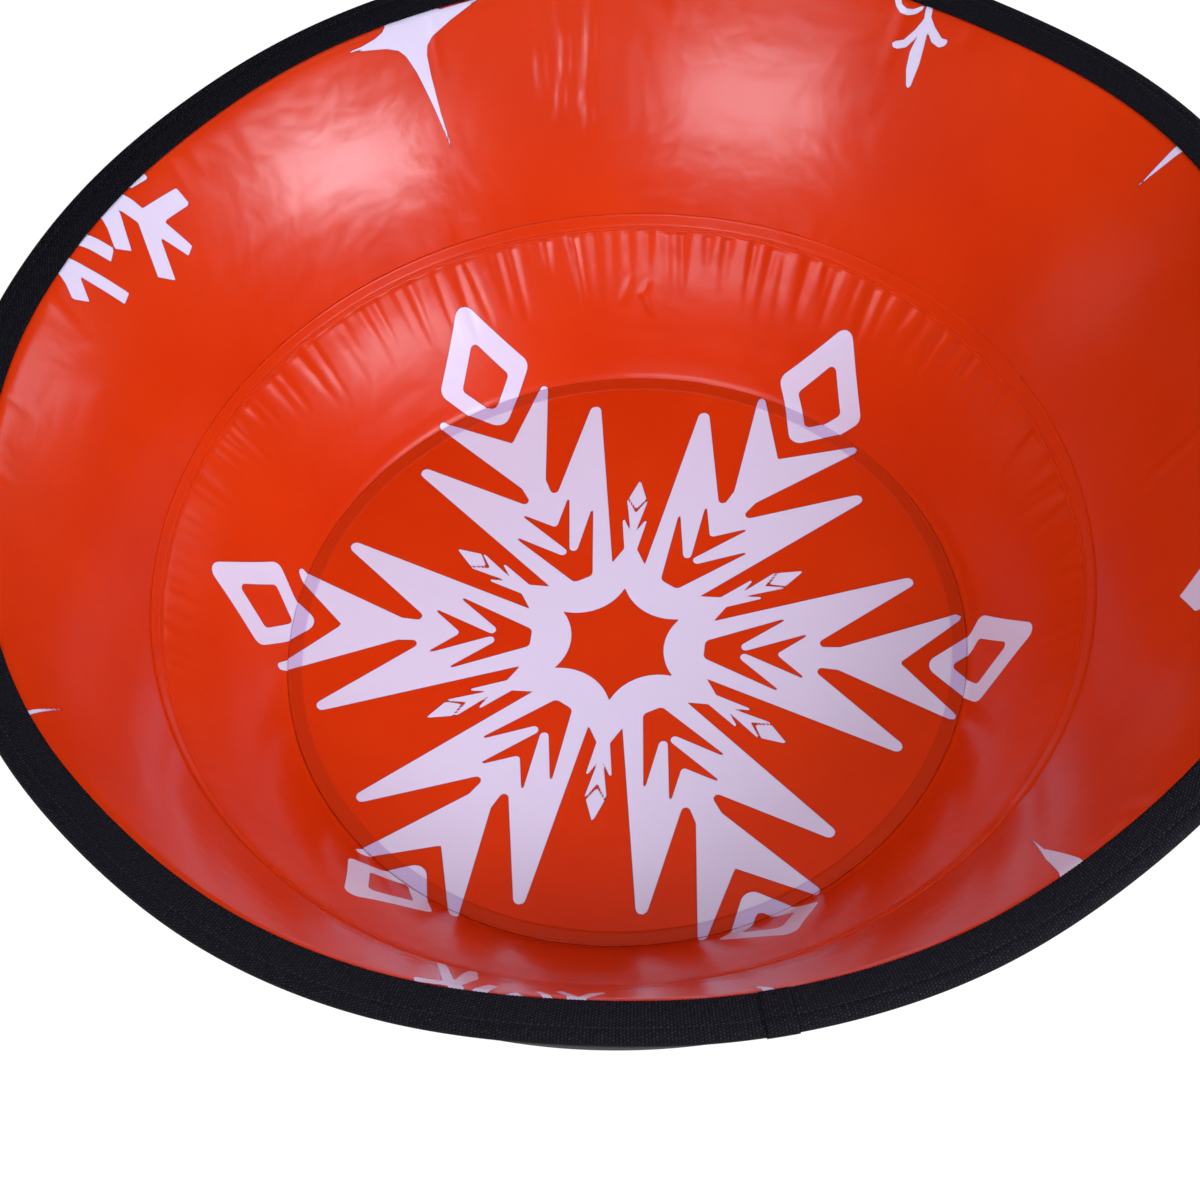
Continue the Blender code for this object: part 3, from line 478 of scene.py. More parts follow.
def turn_from(angle, place):
    """The angle from a place round the axis, between half a turn back and half a turn on."""
    return (angle - place + math.pi) % (2 * math.pi) - math.pi


def crease(angle, away, place, start, end, lean, radius, height=1.2 * MM, width=2.4 * MM):
    """One shallow crease of the film, as a height at each point."""
    t = np.clip((away * 1000 - start) / (end - start), 0, 1)
    across = turn_from(angle, math.radians(place)) * radius - lean * (away - start * MM)
    return height * np.sin(math.pi * t) * np.exp(-(across / width) ** 2)


def skirt_relief(angle, run):
    """Puckers that start at the weld and die out towards the floor, and slow waves."""
    below = SKIRT_WELD_RUN - run
    out = np.zeros_like(angle)
    for place, size, length, width, lean in zip(pleat_angle, pleat_size, pleat_length,
                                                pleat_width, pleat_lean):
        t = np.clip(below / length, 0, 1)
        shape = smooth(below / (5 * MM)) * (1 - t) ** 1.1 * (below > 0)
        across = turn_from(angle, place) * PUCKER_RADIUS - lean * below
        spread = width * (1 - 0.45 * t)
        out += size * shape * np.exp(-(across / spread) ** 2)
    for place, start, end, lean in SKIRT_CREASES:
        out += crease(angle, below, place, start, end, lean, SKIRT_CREASE_RADIUS)
    ends = smooth(below / 0.03) * smooth((run - SKIRT_EDGE_RUN) / 0.02)
    return out + 0.9 * MM * np.sin(3 * angle + 0.6) * ends


print("skirt:", PLEAT_COUNT, "puckers, up to", round(float(pleat_size.max()) * 1000, 1), "mm high")


# %% Relief of the wall, and its small prints
def wall_relief(angle, run):
    """Traces of the skirt's puckers above the weld, creases, and puckers under the tape."""
    up_wall = run - WALL_WELD_RUN
    down_wall = WALL_RIM_RUN - run
    out = np.zeros_like(angle)
    for place, size, length, width in zip(pleat_angle + 0.02, pleat_size, pleat_length, pleat_width):
        t = np.clip((up_wall - 11 * MM) / (length * 0.55), 0, 1)
        across = turn_from(angle, place) * TRACE_RADIUS
        shape = smooth(up_wall / (11 * MM)) * (1 - t) ** 1.5
        out -= 0.28 * size * shape * np.exp(-(across / (width * 1.5)) ** 2)
    for place, start, end, lean in WALL_CREASES:
        out += crease(angle, up_wall, place, start, end, lean, WALL_CREASE_RADIUS)
    for place, size, length, width in zip(rim_angle, rim_size, rim_length, rim_width):
        t = np.clip(down_wall / length, 0, 1)
        across = turn_from(angle, place) * RIM_PUCKER_RADIUS
        shape = (1 - t) ** 1.4 * smooth(down_wall / (6 * MM)) * (up_wall > 0)
        out -= size * shape * np.exp(-(across / width) ** 2)
    return out


WALL_WELD_RUN = float(along(wall_front)[np.argmin(np.hypot(*(wall_front - wall_low).T))])
WALL_RIM_RUN = float(np.interp(0.4706, wall_front[:, 0], along(wall_front)))
RIM_PUCKERS = 70
rim_angle = (np.arange(RIM_PUCKERS) + pleats.uniform(-0.4, 0.4, RIM_PUCKERS)) * 2 * math.pi / RIM_PUCKERS
rim_size = pleats.uniform(0.1, 1.0, RIM_PUCKERS) ** 2 * 1.3 * MM
rim_length = pleats.uniform(25, 70, RIM_PUCKERS) * MM
rim_width = pleats.uniform(3.5, 8, RIM_PUCKERS) * MM


# %% Outlines of the prints on the wall
# Each corner is an angle in degrees from +X and a distance in millimetres up the
# wall from the weld. The prints run on under the tape, which covers their ends.
MM_PER_DEGREE = 7.94
WALL_CORNERS = {
    "block_flake_fork": [
        (144.3, 216), (143.33, 187.1), (138.91, 180.2), (138.52, 162.0), (142.09, 166.1),
        (140.78, 133.9), (141.79, 129.9), (143.47, 158.7), (144.77, 122.8), (146.35, 136.6),
        (144.63, 181.4), (145.53, 201.0), (147.12, 168.9), (148.52, 181.2), (147.0, 216)],
    "block_flake_bar": [
        (149.2, 216), (149.75, 205.9), (148.58, 182.0), (149.79, 176.8), (151.7, 216)],
    "block_flake_end": [
        (152.2, 216), (153.0, 207), (152.28, 189.4), (150.39, 147.4), (151.65, 144.8),
        (153.63, 191.0), (154.76, 171.3), (156.02, 185.2), (155.0, 205.9), (154.7, 216)],
    "block_flake_chip": [
        (140.84, 205.0), (140.94, 201.9), (142.9, 205.3), (143.2, 214), (140.8, 214)],
    "four_point_star": [
        (116.02, 197.9), (113.91, 193.1), (111.85, 188.4), (110.7, 183.7), (110.05, 177.2),
        (109.27, 162.0), (108.32, 135.9), (106.67, 85.8), (107.45, 122.7), (107.79, 155.6),
        (107.83, 172.5), (107.62, 180.3), (106.92, 186.2), (104.74, 195.2), (101.4, 206.5),
        (105.52, 205.7), (107.2, 216), (110.9, 216), (111.4, 206), (111.86, 202.3),
        (112.9, 199.4), (114.46, 197.7)],
    "leaf_arm": [
        (54.9, 214), (54.97, 205.9), (54.79, 199.5), (54.11, 194.2), (52.95, 188.3),
        (52.2, 188.8), (52.29, 184.2), (52.85, 181.1), (53.82, 182.9), (54.66, 190.0),
        (54.38, 178.4), (54.13, 165.2), (54.1, 147.5), (54.25, 145.1), (54.57, 146.2),
        (55.29, 158.2), (55.6, 171.2), (55.5, 178.5), (55.38, 187.6), (55.6, 180.5),
        (56.17, 172.8), (57.01, 169.7), (57.5, 169.8), (57.77, 171.5), (57.67, 174.1),
        (56.69, 177.5), (55.9, 187.4), (55.46, 196.6), (55.66, 205.2), (55.7, 214)],
    "leaf_crescent": [
        (58.95, 203.0), (58.63, 198.7), (58.08, 195.4), (57.23, 195.1), (56.4, 198.2),
        (55.8, 204.5), (56.0, 206.5), (56.82, 201.2), (57.59, 199.9), (58.14, 201.9),
        (58.34, 204.5), (58.5, 214), (59.2, 214)],
    "spike_right": [
        (26.41, 162.3), (25.31, 192.5), (24.6, 214), (25.6, 214), (26.1, 174.5)],
    "spike_left": [
        (-156.48, 157.0), (-154.42, 205.0), (-154.2, 214), (-154.9, 214), (-154.89, 204.8)],
    "spike_near_right": [
        (-52.15, 92.8), (-55.22, 137.7), (-58.0, 214), (-60.5, 214), (-57.16, 158.9)],
    "bar_right": [
        (-20.23, 101.8), (-15.0, 150), (-24.0, 190), (-23.31, 118.7)],
    "sliver_near": [
        (-84.94, 178.5), (-83.2, 214), (-84.6, 214)],
    "twig_flake_cross": [
        (-111.93, 198.9), (-111.93, 192.5), (-109.79, 187.6), (-114.36, 33.8), (-114.44, 21.0),
        (-113.73, 22.7), (-109.03, 178.6), (-109.96, 24.3), (-107.53, 149.5), (-108.14, 193.5),
        (-107.3, 210), (-108.9, 214), (-109.03, 200.1), (-111.61, 202.9)],
    "twig_flake_bar": [
        (-107.11, 202.4), (-106.27, 171.6), (-105.45, 175.0), (-105.86, 204.6), (-106.2, 214),
        (-107.3, 214)],
    "twig_flake_knob": [
        (-104.42, 202.8), (-104.19, 198.8), (-103.64, 197.0), (-102.97, 203.8), (-102.9, 214),
        (-104.5, 214)],
    "twig_flake_tip": [
        (-102.45, 185.5), (-101.96, 181.5), (-100.81, 201.9), (-100.7, 214), (-101.7, 214),
        (-101.48, 203.8)],
    "twig_flake_fork": [
        (-100.74, 175.9), (-100.23, 171.5), (-98.87, 197.2), (-97.97, 176.1), (-96.76, 168.3),
        (-96.7, 174.5), (-98.19, 200.1), (-98.0, 214), (-99.6, 214), (-99.79, 196.5)],
}
WALL_PRINTS = [rounded([(a * MM_PER_DEGREE, up_wall, 0.3) for a, up_wall in corners], 3)
               for corners in WALL_CORNERS.values()]
print(len(WALL_PRINTS), "prints on the wall")


def columns_for_prints(fine=0.2, coarse=0.56):
    """Angles of mesh columns, close together where a print needs them."""
    spans = [(min(a for a, _ in c) - 1, max(a for a, _ in c) + 1) for c in WALL_CORNERS.values()]
    out, at = [], -180.0
    while at < 180.0 - coarse * 0.4:
        out.append(at)
        ahead = min([a - at for a, _ in spans if a > at] + [coarse])
        at += fine if any(a <= at < b for a, b in spans) else max(min(coarse, ahead), fine)
    return np.radians(out)


# %% Build the three skins
def close_poles(points, faces):
    """Makes one point of each row of points that lies on the axis."""
    points, faces = np.asarray(points), np.asarray(faces)
    keys = np.arange(len(points))
    on_axis = np.hypot(points[:, 0], points[:, 1]) < 1e-7
    for height in np.unique(np.round(points[on_axis, 2], 6)):
        ring = np.where(on_axis & (np.abs(points[:, 2] - height) < 1e-6))[0]
        keys[ring] = ring[0]
    used, new = np.unique(keys, return_inverse=True)
    faces = new[faces]
    clean = []
    for face in faces.tolist():
        f = [v for k, v in enumerate(face) if v != face[k - 1]]
        if len(set(f)) > 2:
            clean.append(f)
    return points[used], clean, used


def skin(name, front, back, columns, relief=None, pole=False, thickness=VINYL, **sag_words):
    points, faces, angle, run, side = turned_skin(front, back, thickness, columns, relief)
    faces = face_out(points, faces)
    if pole:
        points, faces, kept = close_poles(points, faces)
        angle, run, side = angle[kept], run[kept], side[kept]
    piece = mesh_piece(name, sag(points, **sag_words), faces)
    return piece, points, angle, run, side


NO_INK = -9.0                             # millimetres from any outline, on hidden sides
floor_piece, p, angle, run, side = skin("printed_floor", floor_front, floor_back, 540, pole=True)
flat = p[:, :2] * 1000 - STAR_CENTRE
store(floor_piece, "ink", np.where(side == 0, ink_depth(flat, SNOWFLAKE), NO_INK))
store(floor_piece, "lap", smooth((np.hypot(p[:, 0], p[:, 1]) - LAP_INNER + 0.0005) / 0.0008))

skirt_piece, p, angle, run, side = skin("gathered_skirt", skirt_front, skirt_back, 960, skirt_relief)
# the far side of the skirt is stretched by a few per cent, so its print reaches further up
stretched = 0.065 * smooth((np.sin(angle) - 0.1) / 0.6)
flat_radius = (FLOOR_EDGE + (run - SKIRT_EDGE_RUN) * (1 - stretched * (run > SKIRT_EDGE_RUN))) * 1000
flat = np.stack([flat_radius * np.cos(angle), flat_radius * np.sin(angle)], 1) - STAR_CENTRE
printed = (side == 0) & (flat_radius < 380)
ink = np.full(len(p), NO_INK)
ink[printed] = ink_depth(flat[printed], SNOWFLAKE)
store(skirt_piece, "ink", ink)
store(skirt_piece, "lap", np.zeros(len(p)))

wall_piece, p, angle, run, side = skin("inner_wall_film", wall_front, wall_back,
                                       columns_for_prints(), wall_relief, low_from=WALL_FOOT)
wall_side = (side == 0) & (run > WALL_WELD_RUN)
mm_round = ((np.degrees(angle[wall_side]) + 180) % 360 - 180) * MM_PER_DEGREE
mm_up = (run[wall_side] - WALL_WELD_RUN) * 1000
ink = np.full(len(p), NO_INK)
ink[wall_side] = ink_depth(np.stack([mm_round, mm_up], 1), WALL_PRINTS)
store(wall_piece, "ink", ink)
store(wall_piece, "lap", np.zeros(len(p)))
for piece in (floor_piece, skirt_piece, wall_piece):
    print(piece.name, sum(len(f.vertices) - 2 for f in piece.data.polygons), "triangles")

# %% [markdown]
# ## The hidden air chamber
#
# The outer sheet closes the ring behind the cover, and twelve webs tie it to
# the inner wall so that the blown-up ring keeps its bowl shape. Nobody sees
# them here, but the part can be cut open, so they are there. The webs repeat
# round an axis, which is a job for Geometry Nodes: one flat panel is placed
# twelve times, and the copies are made real so that they can be exported.

# %% The outer sheet and the cover
COVER_THICK, COVER_GAP = 1.0 * MM, 0.3 * MM
OUTSIDE = [(0.494, 0.3256), (0.477, 0.3256), (0.4735, 0.3200), (0.4592, 0.2765),
           (0.4445, 0.2358), (0.4262, 0.1942), (0.4063, 0.1554), (0.3838, 0.1170),
           (0.3593, 0.0798), (0.304, 0.010), (0.286, 0.0015), (0.268, 0.0015)]


def inset(line, depth):
    line = np.array(line, dtype=float)
    return line - normals_of(line) * depth


cover_line = np.vstack([resample(OUTSIDE[:2], 6 * MM)[:-1], rounded_line(OUTSIDE[1:11], 4.0 * MM, 2),
                        [OUTSIDE[11]]])
outer_line = inset(resample(OUTSIDE[:11], 14 * MM), COVER_THICK + COVER_GAP)
outer_line = np.vstack([outer_line, [(0.268, 0.0028)]])
cover_runs = along(cover_line)
COVER_FOOT_RUN = float(np.interp(0.0015, cover_line[::-1, 1], cover_runs[::-1]))


def cover_relief(angle, run):
    """Soft fabric tension folds that start at the base seam and fade up the side."""
    folds = np.random.default_rng(21)
    out = np.zeros_like(angle)
    from_foot = COVER_FOOT_RUN - run
    for k in range(60):
        place = (k + folds.uniform(-0.4, 0.4)) * 2 * math.pi / 60
        size = folds.uniform(0.1, 0.6) * MM
        length, width = folds.uniform(30, 90) * MM, folds.uniform(4, 9) * MM
        t = np.clip(from_foot / length, 0, 1)
        across = turn_from(angle, place) * COVER_FOLD_RADIUS
        shape = smooth(from_foot / (10 * MM)) * (1 - t) ** 1.4
        out -= size * shape * np.exp(-(across / width) ** 2)
    return out


outer_piece, *_ = skin("outer_sheet_film", outer_line, outer_line, 240,
                       thickness=1.2 * MM, cover=True)
cover_piece, *cover_rest = skin("cover_side_cloth", cover_line, cover_line, 480, cover_relief,
                                thickness=0.8 * MM, cover=True)
base_line = np.vstack([[(0.2856, 0.0006)], resample([(0.2850, 0.0), (0.0, 0.0)], 9 * MM)])
base_back = resample([(0.2850, 0.0), (0.0, 0.0)], 60 * MM)
base_piece, *_ = skin("cover_base_cloth", base_line, base_back, 240, pole=True,
                      thickness=1.1 * MM, cover=True)
print("cover foot at", round(COVER_FOOT_RUN, 3), "m along the section")


# %% Helpers for node trees
MATH = "ShaderNodeMath"


def new_tree(name, sizes):
    """A geometry node tree with named number inputs. Returns tree, input node, output node."""
    tree = bpy.data.node_groups.new(name, "GeometryNodeTree")
    tree.interface.new_socket("Geometry", in_out="INPUT", socket_type="NodeSocketGeometry")
    for label, kind in sizes:
        tree.interface.new_socket(label, in_out="INPUT", socket_type=kind)
    tree.interface.new_socket("Geometry", in_out="OUTPUT", socket_type="NodeSocketGeometry")
    return tree, tree.nodes.new("NodeGroupInput"), tree.nodes.new("NodeGroupOutput")


def add_node(tree, kind, inputs=None, **settings):
    """Adds one node, sets it up and links or fills its inputs."""
    node = tree.nodes.new(kind)
    for key, value in settings.items():
        setattr(node, key, value)
    for key, value in (inputs or {}).items():
        socket = node.inputs[key]
        if isinstance(value, bpy.types.NodeSocket):
            tree.links.new(value, socket)
        else:
            socket.default_value = value
    return node


def run_tree(name, tree, values, source=None):
    """Runs a tree on a source mesh and returns the plain mesh that it makes."""
    holder = source or bpy.data.objects.new(name, bpy.data.meshes.new(name))
    if holder.name not in scene.collection.objects:
        scene.collection.objects.link(holder)
    modifier = holder.modifiers.new("nodes", "NODES")
    modifier.node_group = tree
    for item in tree.interface.items_tree:
        if item.item_type == "SOCKET" and item.in_out == "INPUT" and item.name in values:
            modifier[item.identifier] = values[item.name]
    evaluated = holder.evaluated_get(bpy.context.evaluated_depsgraph_get())
    mesh = bpy.data.meshes.new_from_object(evaluated)
    holder.modifiers.remove(modifier)
    bpy.data.objects.remove(holder)
    mesh.name = name
    piece = bpy.data.objects.new(name, mesh)
    scene.collection.objects.link(piece)
    print(name, len(mesh.polygons), "faces")
    return piece


# %% The tree that places the webs
ring_tree, ring_in, ring_out = new_tree("place_round_axis", [
    ("Count", "NodeSocketInt"), ("First Angle", "NodeSocketFloat"), ("Finish", "NodeSocketMaterial")])
spots = add_node(ring_tree, "GeometryNodePoints", {"Count": ring_in.outputs["Count"]})
number = add_node(ring_tree, "GeometryNodeInputIndex")
share = add_node(ring_tree, MATH,
                 {0: number.outputs[0], 1: ring_in.outputs["Count"]}, operation="DIVIDE")
angle_node = add_node(ring_tree, MATH,
                      {0: share.outputs[0], 1: 2 * math.pi, 2: ring_in.outputs["First Angle"]},
                      operation="MULTIPLY_ADD")
turn_node = add_node(ring_tree, "ShaderNodeCombineXYZ", {"Z": angle_node.outputs[0]})
copies = add_node(ring_tree, "GeometryNodeInstanceOnPoints",
                  {"Points": spots.outputs[0], "Instance": ring_in.outputs["Geometry"],
                   "Rotation": turn_node.outputs[0]})
real = add_node(ring_tree, "GeometryNodeRealizeInstances", {"Geometry": copies.outputs[0]})
finish_node = add_node(ring_tree, "GeometryNodeSetMaterial",
                       {"Geometry": real.outputs[0], "Material": ring_in.outputs["Finish"]})
ring_tree.links.new(finish_node.outputs[0], ring_out.inputs[0])

# %% One web, and its twelve places
WEB_LOW, WEB_HIGH, WEB_ROWS, WEB_THICK = 0.040, 0.290, 16, 1.2 * MM
WEB_COUNT, FIRST_WEB = 12, math.radians(3)
web_heights = np.linspace(WEB_LOW, WEB_HIGH, WEB_ROWS)
wall_behind = inset(wall_front, 2.3 * MM)
web_inner = np.interp(web_heights, wall_behind[:, 1][2:], wall_behind[:, 0][2:])
cover_inside = inset(cover_line, 3.3 * MM)[::-1]
web_outer = np.interp(web_heights, cover_inside[:, 1], cover_inside[:, 0])
web_points, web_faces = [], []
for side_y in (-WEB_THICK / 2, WEB_THICK / 2):
    for r_in, r_out, z in zip(web_inner, web_outer, web_heights):
        web_points += [(r_in, side_y, z), ((r_in + r_out) / 2, side_y, z), (r_out, side_y, z)]
half = 3 * WEB_ROWS
for i in range(WEB_ROWS - 1):
    for j in (0, 1):
        a = 3 * i + j
        web_faces += [(a, a + 1, a + 4, a + 3), (half + a, half + a + 3, half + a + 4, half + a + 1)]
    web_faces += [(3 * i, 3 * i + 3, half + 3 * i + 3, half + 3 * i),
                  (3 * i + 2, half + 3 * i + 2, half + 3 * i + 5, 3 * i + 5)]
for j in (0, 1):
    top = 3 * (WEB_ROWS - 1) + j
    web_faces += [(j, half + j, half + j + 1, j + 1), (top, top + 1, half + top + 1, half + top)]
one_web = mesh_piece("one_web", web_points, web_faces, flat=True)
webs = run_tree("chamber_webs", ring_tree, {"Count": WEB_COUNT, "First Angle": FIRST_WEB}, one_web)
# the sag of a web passes from the wall's to the cover's across its width
p = points_of(webs)
share_out = np.clip((np.hypot(p[:, 0], p[:, 1]) - np.interp(p[:, 2], web_heights, web_inner))
                    / np.interp(p[:, 2], web_heights, web_outer - web_inner), 0, 1)[:, None]
move_points(webs, sag(p, low_from=WALL_FOOT) * (1 - share_out) + sag(p, cover=True) * share_out)

# %% [markdown]
# ## The woven tape round the rim
#
# A polyester webbing is folded over the weld flange and sewn through. Its
# outer third bulges round the fold, a stitch line presses a groove into it,
# and the picks of the weave show as fine teeth along its inner edge. The
# teeth are real mesh, three columns to a tooth; the weave itself is far finer
# and is left to the material.

# %% The tape and its joint
TEETH, TOOTH = 1140, 0.45 * MM
TAPE_ROUND, COVER_ROUND = 3.040, 2.4      # metres round, for the weave patterns
tape_front = np.array([
    (0.4707, 0.3311), (0.4710, 0.3319), (0.4730, 0.3325), (0.4790, 0.3337), (0.4850, 0.3350),
    (0.4896, 0.3359), (0.4906, 0.3353), (0.4916, 0.3361), (0.4945, 0.3367), (0.4976, 0.3362),
    (0.5000, 0.3342), (0.5009, 0.3312), (0.5002, 0.3282), (0.4978, 0.3256), (0.4940, 0.3243),
    (0.4860, 0.3239), (0.4768, 0.3238)])
tape_back = tape_front[[1, 4, 9, 11, 13, 16]]


def uv_from(piece, u, v, period):
    """Stores a UV map from one pair of numbers per point, closed across the seam."""
    loops = np.empty(len(piece.data.loops), dtype=int)
    piece.data.loops.foreach_get("vertex_index", loops)
    totals = np.empty(len(piece.data.polygons), dtype=int)
    piece.data.polygons.foreach_get("loop_total", totals)
    face = np.repeat(np.arange(len(totals)), totals)
    pair = np.stack([np.asarray(u)[loops], np.asarray(v)[loops]], 1)
    highest = np.full(len(totals), -1e9)
    np.maximum.at(highest, face, pair[:, 0])
    pair[:, 0] += np.where(highest[face] - pair[:, 0] > period / 2, period, 0)
    piece.data.uv_layers.new(name="UVMap").data.foreach_set("uv", pair.ravel())


points, faces, angle, run, side = turned_skin(tape_front, tape_back, 1.2 * MM, TEETH * 3)
radius = np.hypot(points[:, 0], points[:, 1])
tooth = np.array([0.0, 1.0, 0.45])[np.arange(TEETH * 3) % 3]
is_edge = (run < 1.0 * MM) & (side == 0)
push = np.where(is_edge, np.tile(tooth, len(points) // (TEETH * 3)) * TOOTH, 0)
points[:, :2] *= (1 - push / radius)[:, None]
tape = mesh_piece("rim_tape_web", sag(points), face_out(points, faces))
uv_from(tape, angle / (2 * math.pi) * TAPE_ROUND, run, TAPE_ROUND)
_, cover_angle, cover_run, _ = cover_rest
uv_from(cover_piece, cover_angle / (2 * math.pi) * COVER_ROUND, cover_run, COVER_ROUND)

# the sleeve of the joint is a second layer over the tape, 20 mm long
JOINT_ANGLE, JOINT_HALF = math.radians(-84.0), 10.0 * MM
JOINT_GAP, JOINT_THICK = 0.15 * MM, 0.6 * MM
JOINT_SPANS, JOINT_RADIUS = 8, 0.485
OPEN_STRIP = 1e6                          # a period for a strip that doesn't close round the rim
tape_out = normals_of(tape_front)[1:]
joint_section = np.vstack([tape_front[1:] + tape_out * (JOINT_GAP + JOINT_THICK),
                           (tape_front[1:] + tape_out * JOINT_GAP)[::-1]])
joint_steps = np.linspace(-JOINT_HALF, JOINT_HALF, JOINT_SPANS + 1) / JOINT_RADIUS + JOINT_ANGLE
joint_points = np.array([(r * math.cos(a), r * math.sin(a), z)
                         for a in joint_steps for r, z in joint_section])
m = len(joint_section)
joint_faces = [(k * m + i, k * m + (i + 1) % m, (k + 1) * m + (i + 1) % m, (k + 1) * m + i)
               for k in range(JOINT_SPANS) for i in range(m)]
joint_faces = face_out(joint_points, np.array(joint_faces)).tolist()
caps = [(i, i + 1, m - 2 - i, m - 1 - i) for i in range(m // 2 - 1)]
joint_faces += [f[::-1] for f in caps] + [tuple(JOINT_SPANS * m + v for v in f) for f in caps]
joint = mesh_piece("tape_joint_sleeve", sag(joint_points), joint_faces)
joint_run = np.tile(along(joint_section[:m // 2]), 2 * (JOINT_SPANS + 1))
uv_from(joint, np.repeat(joint_steps, m) / (2 * math.pi) * TAPE_ROUND, joint_run, OPEN_STRIP)
print("tape", len(tape.data.polygons) * 2, "triangles; joint section", m, "points")

# %% [markdown]
# ## Stitches, the valve port and the tow fitting
#
# All stitches are one tree: it lays points along a line at the stitch pitch
# and puts a thread on each, turned along the line. The port is a real hole in
# the cover, so the valve stands in the open. The tow patch and its strap are
# the CAD solids with soft edges, because cloth has no sharp arris.

# %% The tree that sews
sew_tree, sew_in, sew_out = new_tree("sew_along_line", [
    ("Pitch", "NodeSocketFloat"), ("Length", "NodeSocketFloat"),
    ("Thread", "NodeSocketFloat"), ("Finish", "NodeSocketMaterial")])
sew = sew_in.outputs
line_node = add_node(sew_tree, "GeometryNodeMeshToCurve", {"Mesh": sew["Geometry"]})
spaced = add_node(sew_tree, "GeometryNodeResampleCurve",
                  {"Curve": line_node.outputs[0], "Length": sew["Pitch"]}, mode="LENGTH")
tangent = add_node(sew_tree, "GeometryNodeInputTangent")
turned = add_node(sew_tree, "FunctionNodeAlignRotationToVector",
                  {"Vector": tangent.outputs[0]}, axis="X")
thread_size = add_node(sew_tree, "ShaderNodeCombineXYZ",
                       {"X": sew["Length"], "Y": sew["Thread"], "Z": sew["Thread"]})
thread_bead = add_node(sew_tree, "GeometryNodeMeshUVSphere", {"Segments": 6, "Rings": 5, "Radius": 0.5})
sewn = add_node(sew_tree, "GeometryNodeInstanceOnPoints",
                {"Points": spaced.outputs[0], "Instance": thread_bead.outputs[0],
                 "Rotation": turned.outputs[0], "Scale": thread_size.outputs[0]})
sewn_real = add_node(sew_tree, "GeometryNodeRealizeInstances", {"Geometry": sewn.outputs[0]})
sewn_done = add_node(sew_tree, "GeometryNodeSetMaterial",
                     {"Geometry": sewn_real.outputs[0], "Material": sew["Finish"]})
sew_tree.links.new(sewn_done.outputs[0], sew_out.inputs[0])


def stitches(name, loops, pitch, thread=0.6 * MM):
    """Rows of stitches along closed loops of points."""
    points, edges = [], []
    for loop in loops:
        first = len(points)
        points += [tuple(q) for q in loop]
        edges += [(first + i, first + (i + 1) % len(loop)) for i in range(len(loop))]
    mesh = bpy.data.meshes.new(name + "_line")
    mesh.from_pydata(points, edges, [])
    piece = run_tree(name, sew_tree, {"Pitch": pitch, "Length": pitch * 0.72, "Thread": thread},
                     bpy.data.objects.new(name + "_line", mesh))
    piece.data.polygons.foreach_set("use_smooth", np.ones(len(piece.data.polygons), dtype=bool))
    return piece


def ring_of(radius, height, count=720):
    a = np.arange(count) * 2 * math.pi / count
    return np.stack([radius * np.cos(a), radius * np.sin(a), np.full(count, height)], 1)


tape_stitches = stitches("tape_stitches", [sag(ring_of(0.4906, 0.3354))], 4.2 * MM, 0.5 * MM)
foot_stitches = stitches("cover_foot_stitches",
                         [ring_of(0.2930, 0.0044), ring_of(0.2975, 0.0065)], 5.0 * MM)

# %% The hole of the valve port and its binding
VALVE_PLACE = Vector((0.21183, 0.3669, 0.19616))
VALVE_OUT = Vector((0.45164, 0.78226, -0.42907)).normalized()
PORT_RADIUS, PORT_SIDES = 0.0180, 96
valve_turn = VALVE_OUT.to_track_quat("Z", "X")


def port_circle(radius, out):
    """Points of a circle about the valve's axis; out is the distance out of the cover."""
    turns = np.arange(PORT_SIDES) * 2 * math.pi / PORT_SIDES
    return [tuple(VALVE_PLACE + valve_turn @ Vector((radius * math.cos(t), radius * math.sin(t), out)))
            for t in turns]


def from_valve(points):
    """How far points lie out along the valve's axis, and how far beside it."""
    off = points - np.array(VALVE_PLACE)
    out = off @ np.array(VALVE_OUT)
    return out, np.linalg.norm(off - out[:, None] * np.array(VALVE_OUT), axis=1)


def draw_in(piece, depth=1.8 * MM, full=0.034, reach=0.062):
    """The weld of the valve draws cloth and film in, so that the open cap clears them."""
    points = points_of(piece)
    out, beside = from_valve(points)
    near = smooth((reach - beside) / (reach - full)) * (np.abs(out) < 0.03)
    move_points(piece, points - near[:, None] * depth * np.array(VALVE_OUT))


draw_in(cover_piece)
draw_in(outer_piece)

# a tool body with flat ends cuts the hole
n = PORT_SIDES
drill_sides = [(i, (i + 1) % n, n + (i + 1) % n, n + i) for i in range(n)]
drill_ends = [tuple(range(n - 1, -1, -1)), tuple(range(n, 2 * n))]
drill = mesh_piece("port_drill", port_circle(PORT_RADIUS, -0.020) + port_circle(PORT_RADIUS, 0.030),
                   drill_sides + drill_ends)
cut = cover_piece.modifiers.new("port", "BOOLEAN")
cut.operation, cut.object, cut.solver = "DIFFERENCE", drill, "EXACT"
cover_cut = cover_piece.evaluated_get(bpy.context.evaluated_depsgraph_get())
cover_with_hole = bpy.data.meshes.new_from_object(cover_cut)
cover_piece.modifiers.remove(cut)
cover_piece.data = cover_with_hole
bpy.data.objects.remove(drill)
cover_out, cover_beside = from_valve(points_of(cover_piece))
rim_out = cover_out[np.abs(cover_beside - PORT_RADIUS) < 0.2 * MM]
PORT_LEVEL = float(rim_out.max())
print("port cut; its outer edge lies", round(PORT_LEVEL * 1000, 2), "mm out, on", len(rim_out), "points")


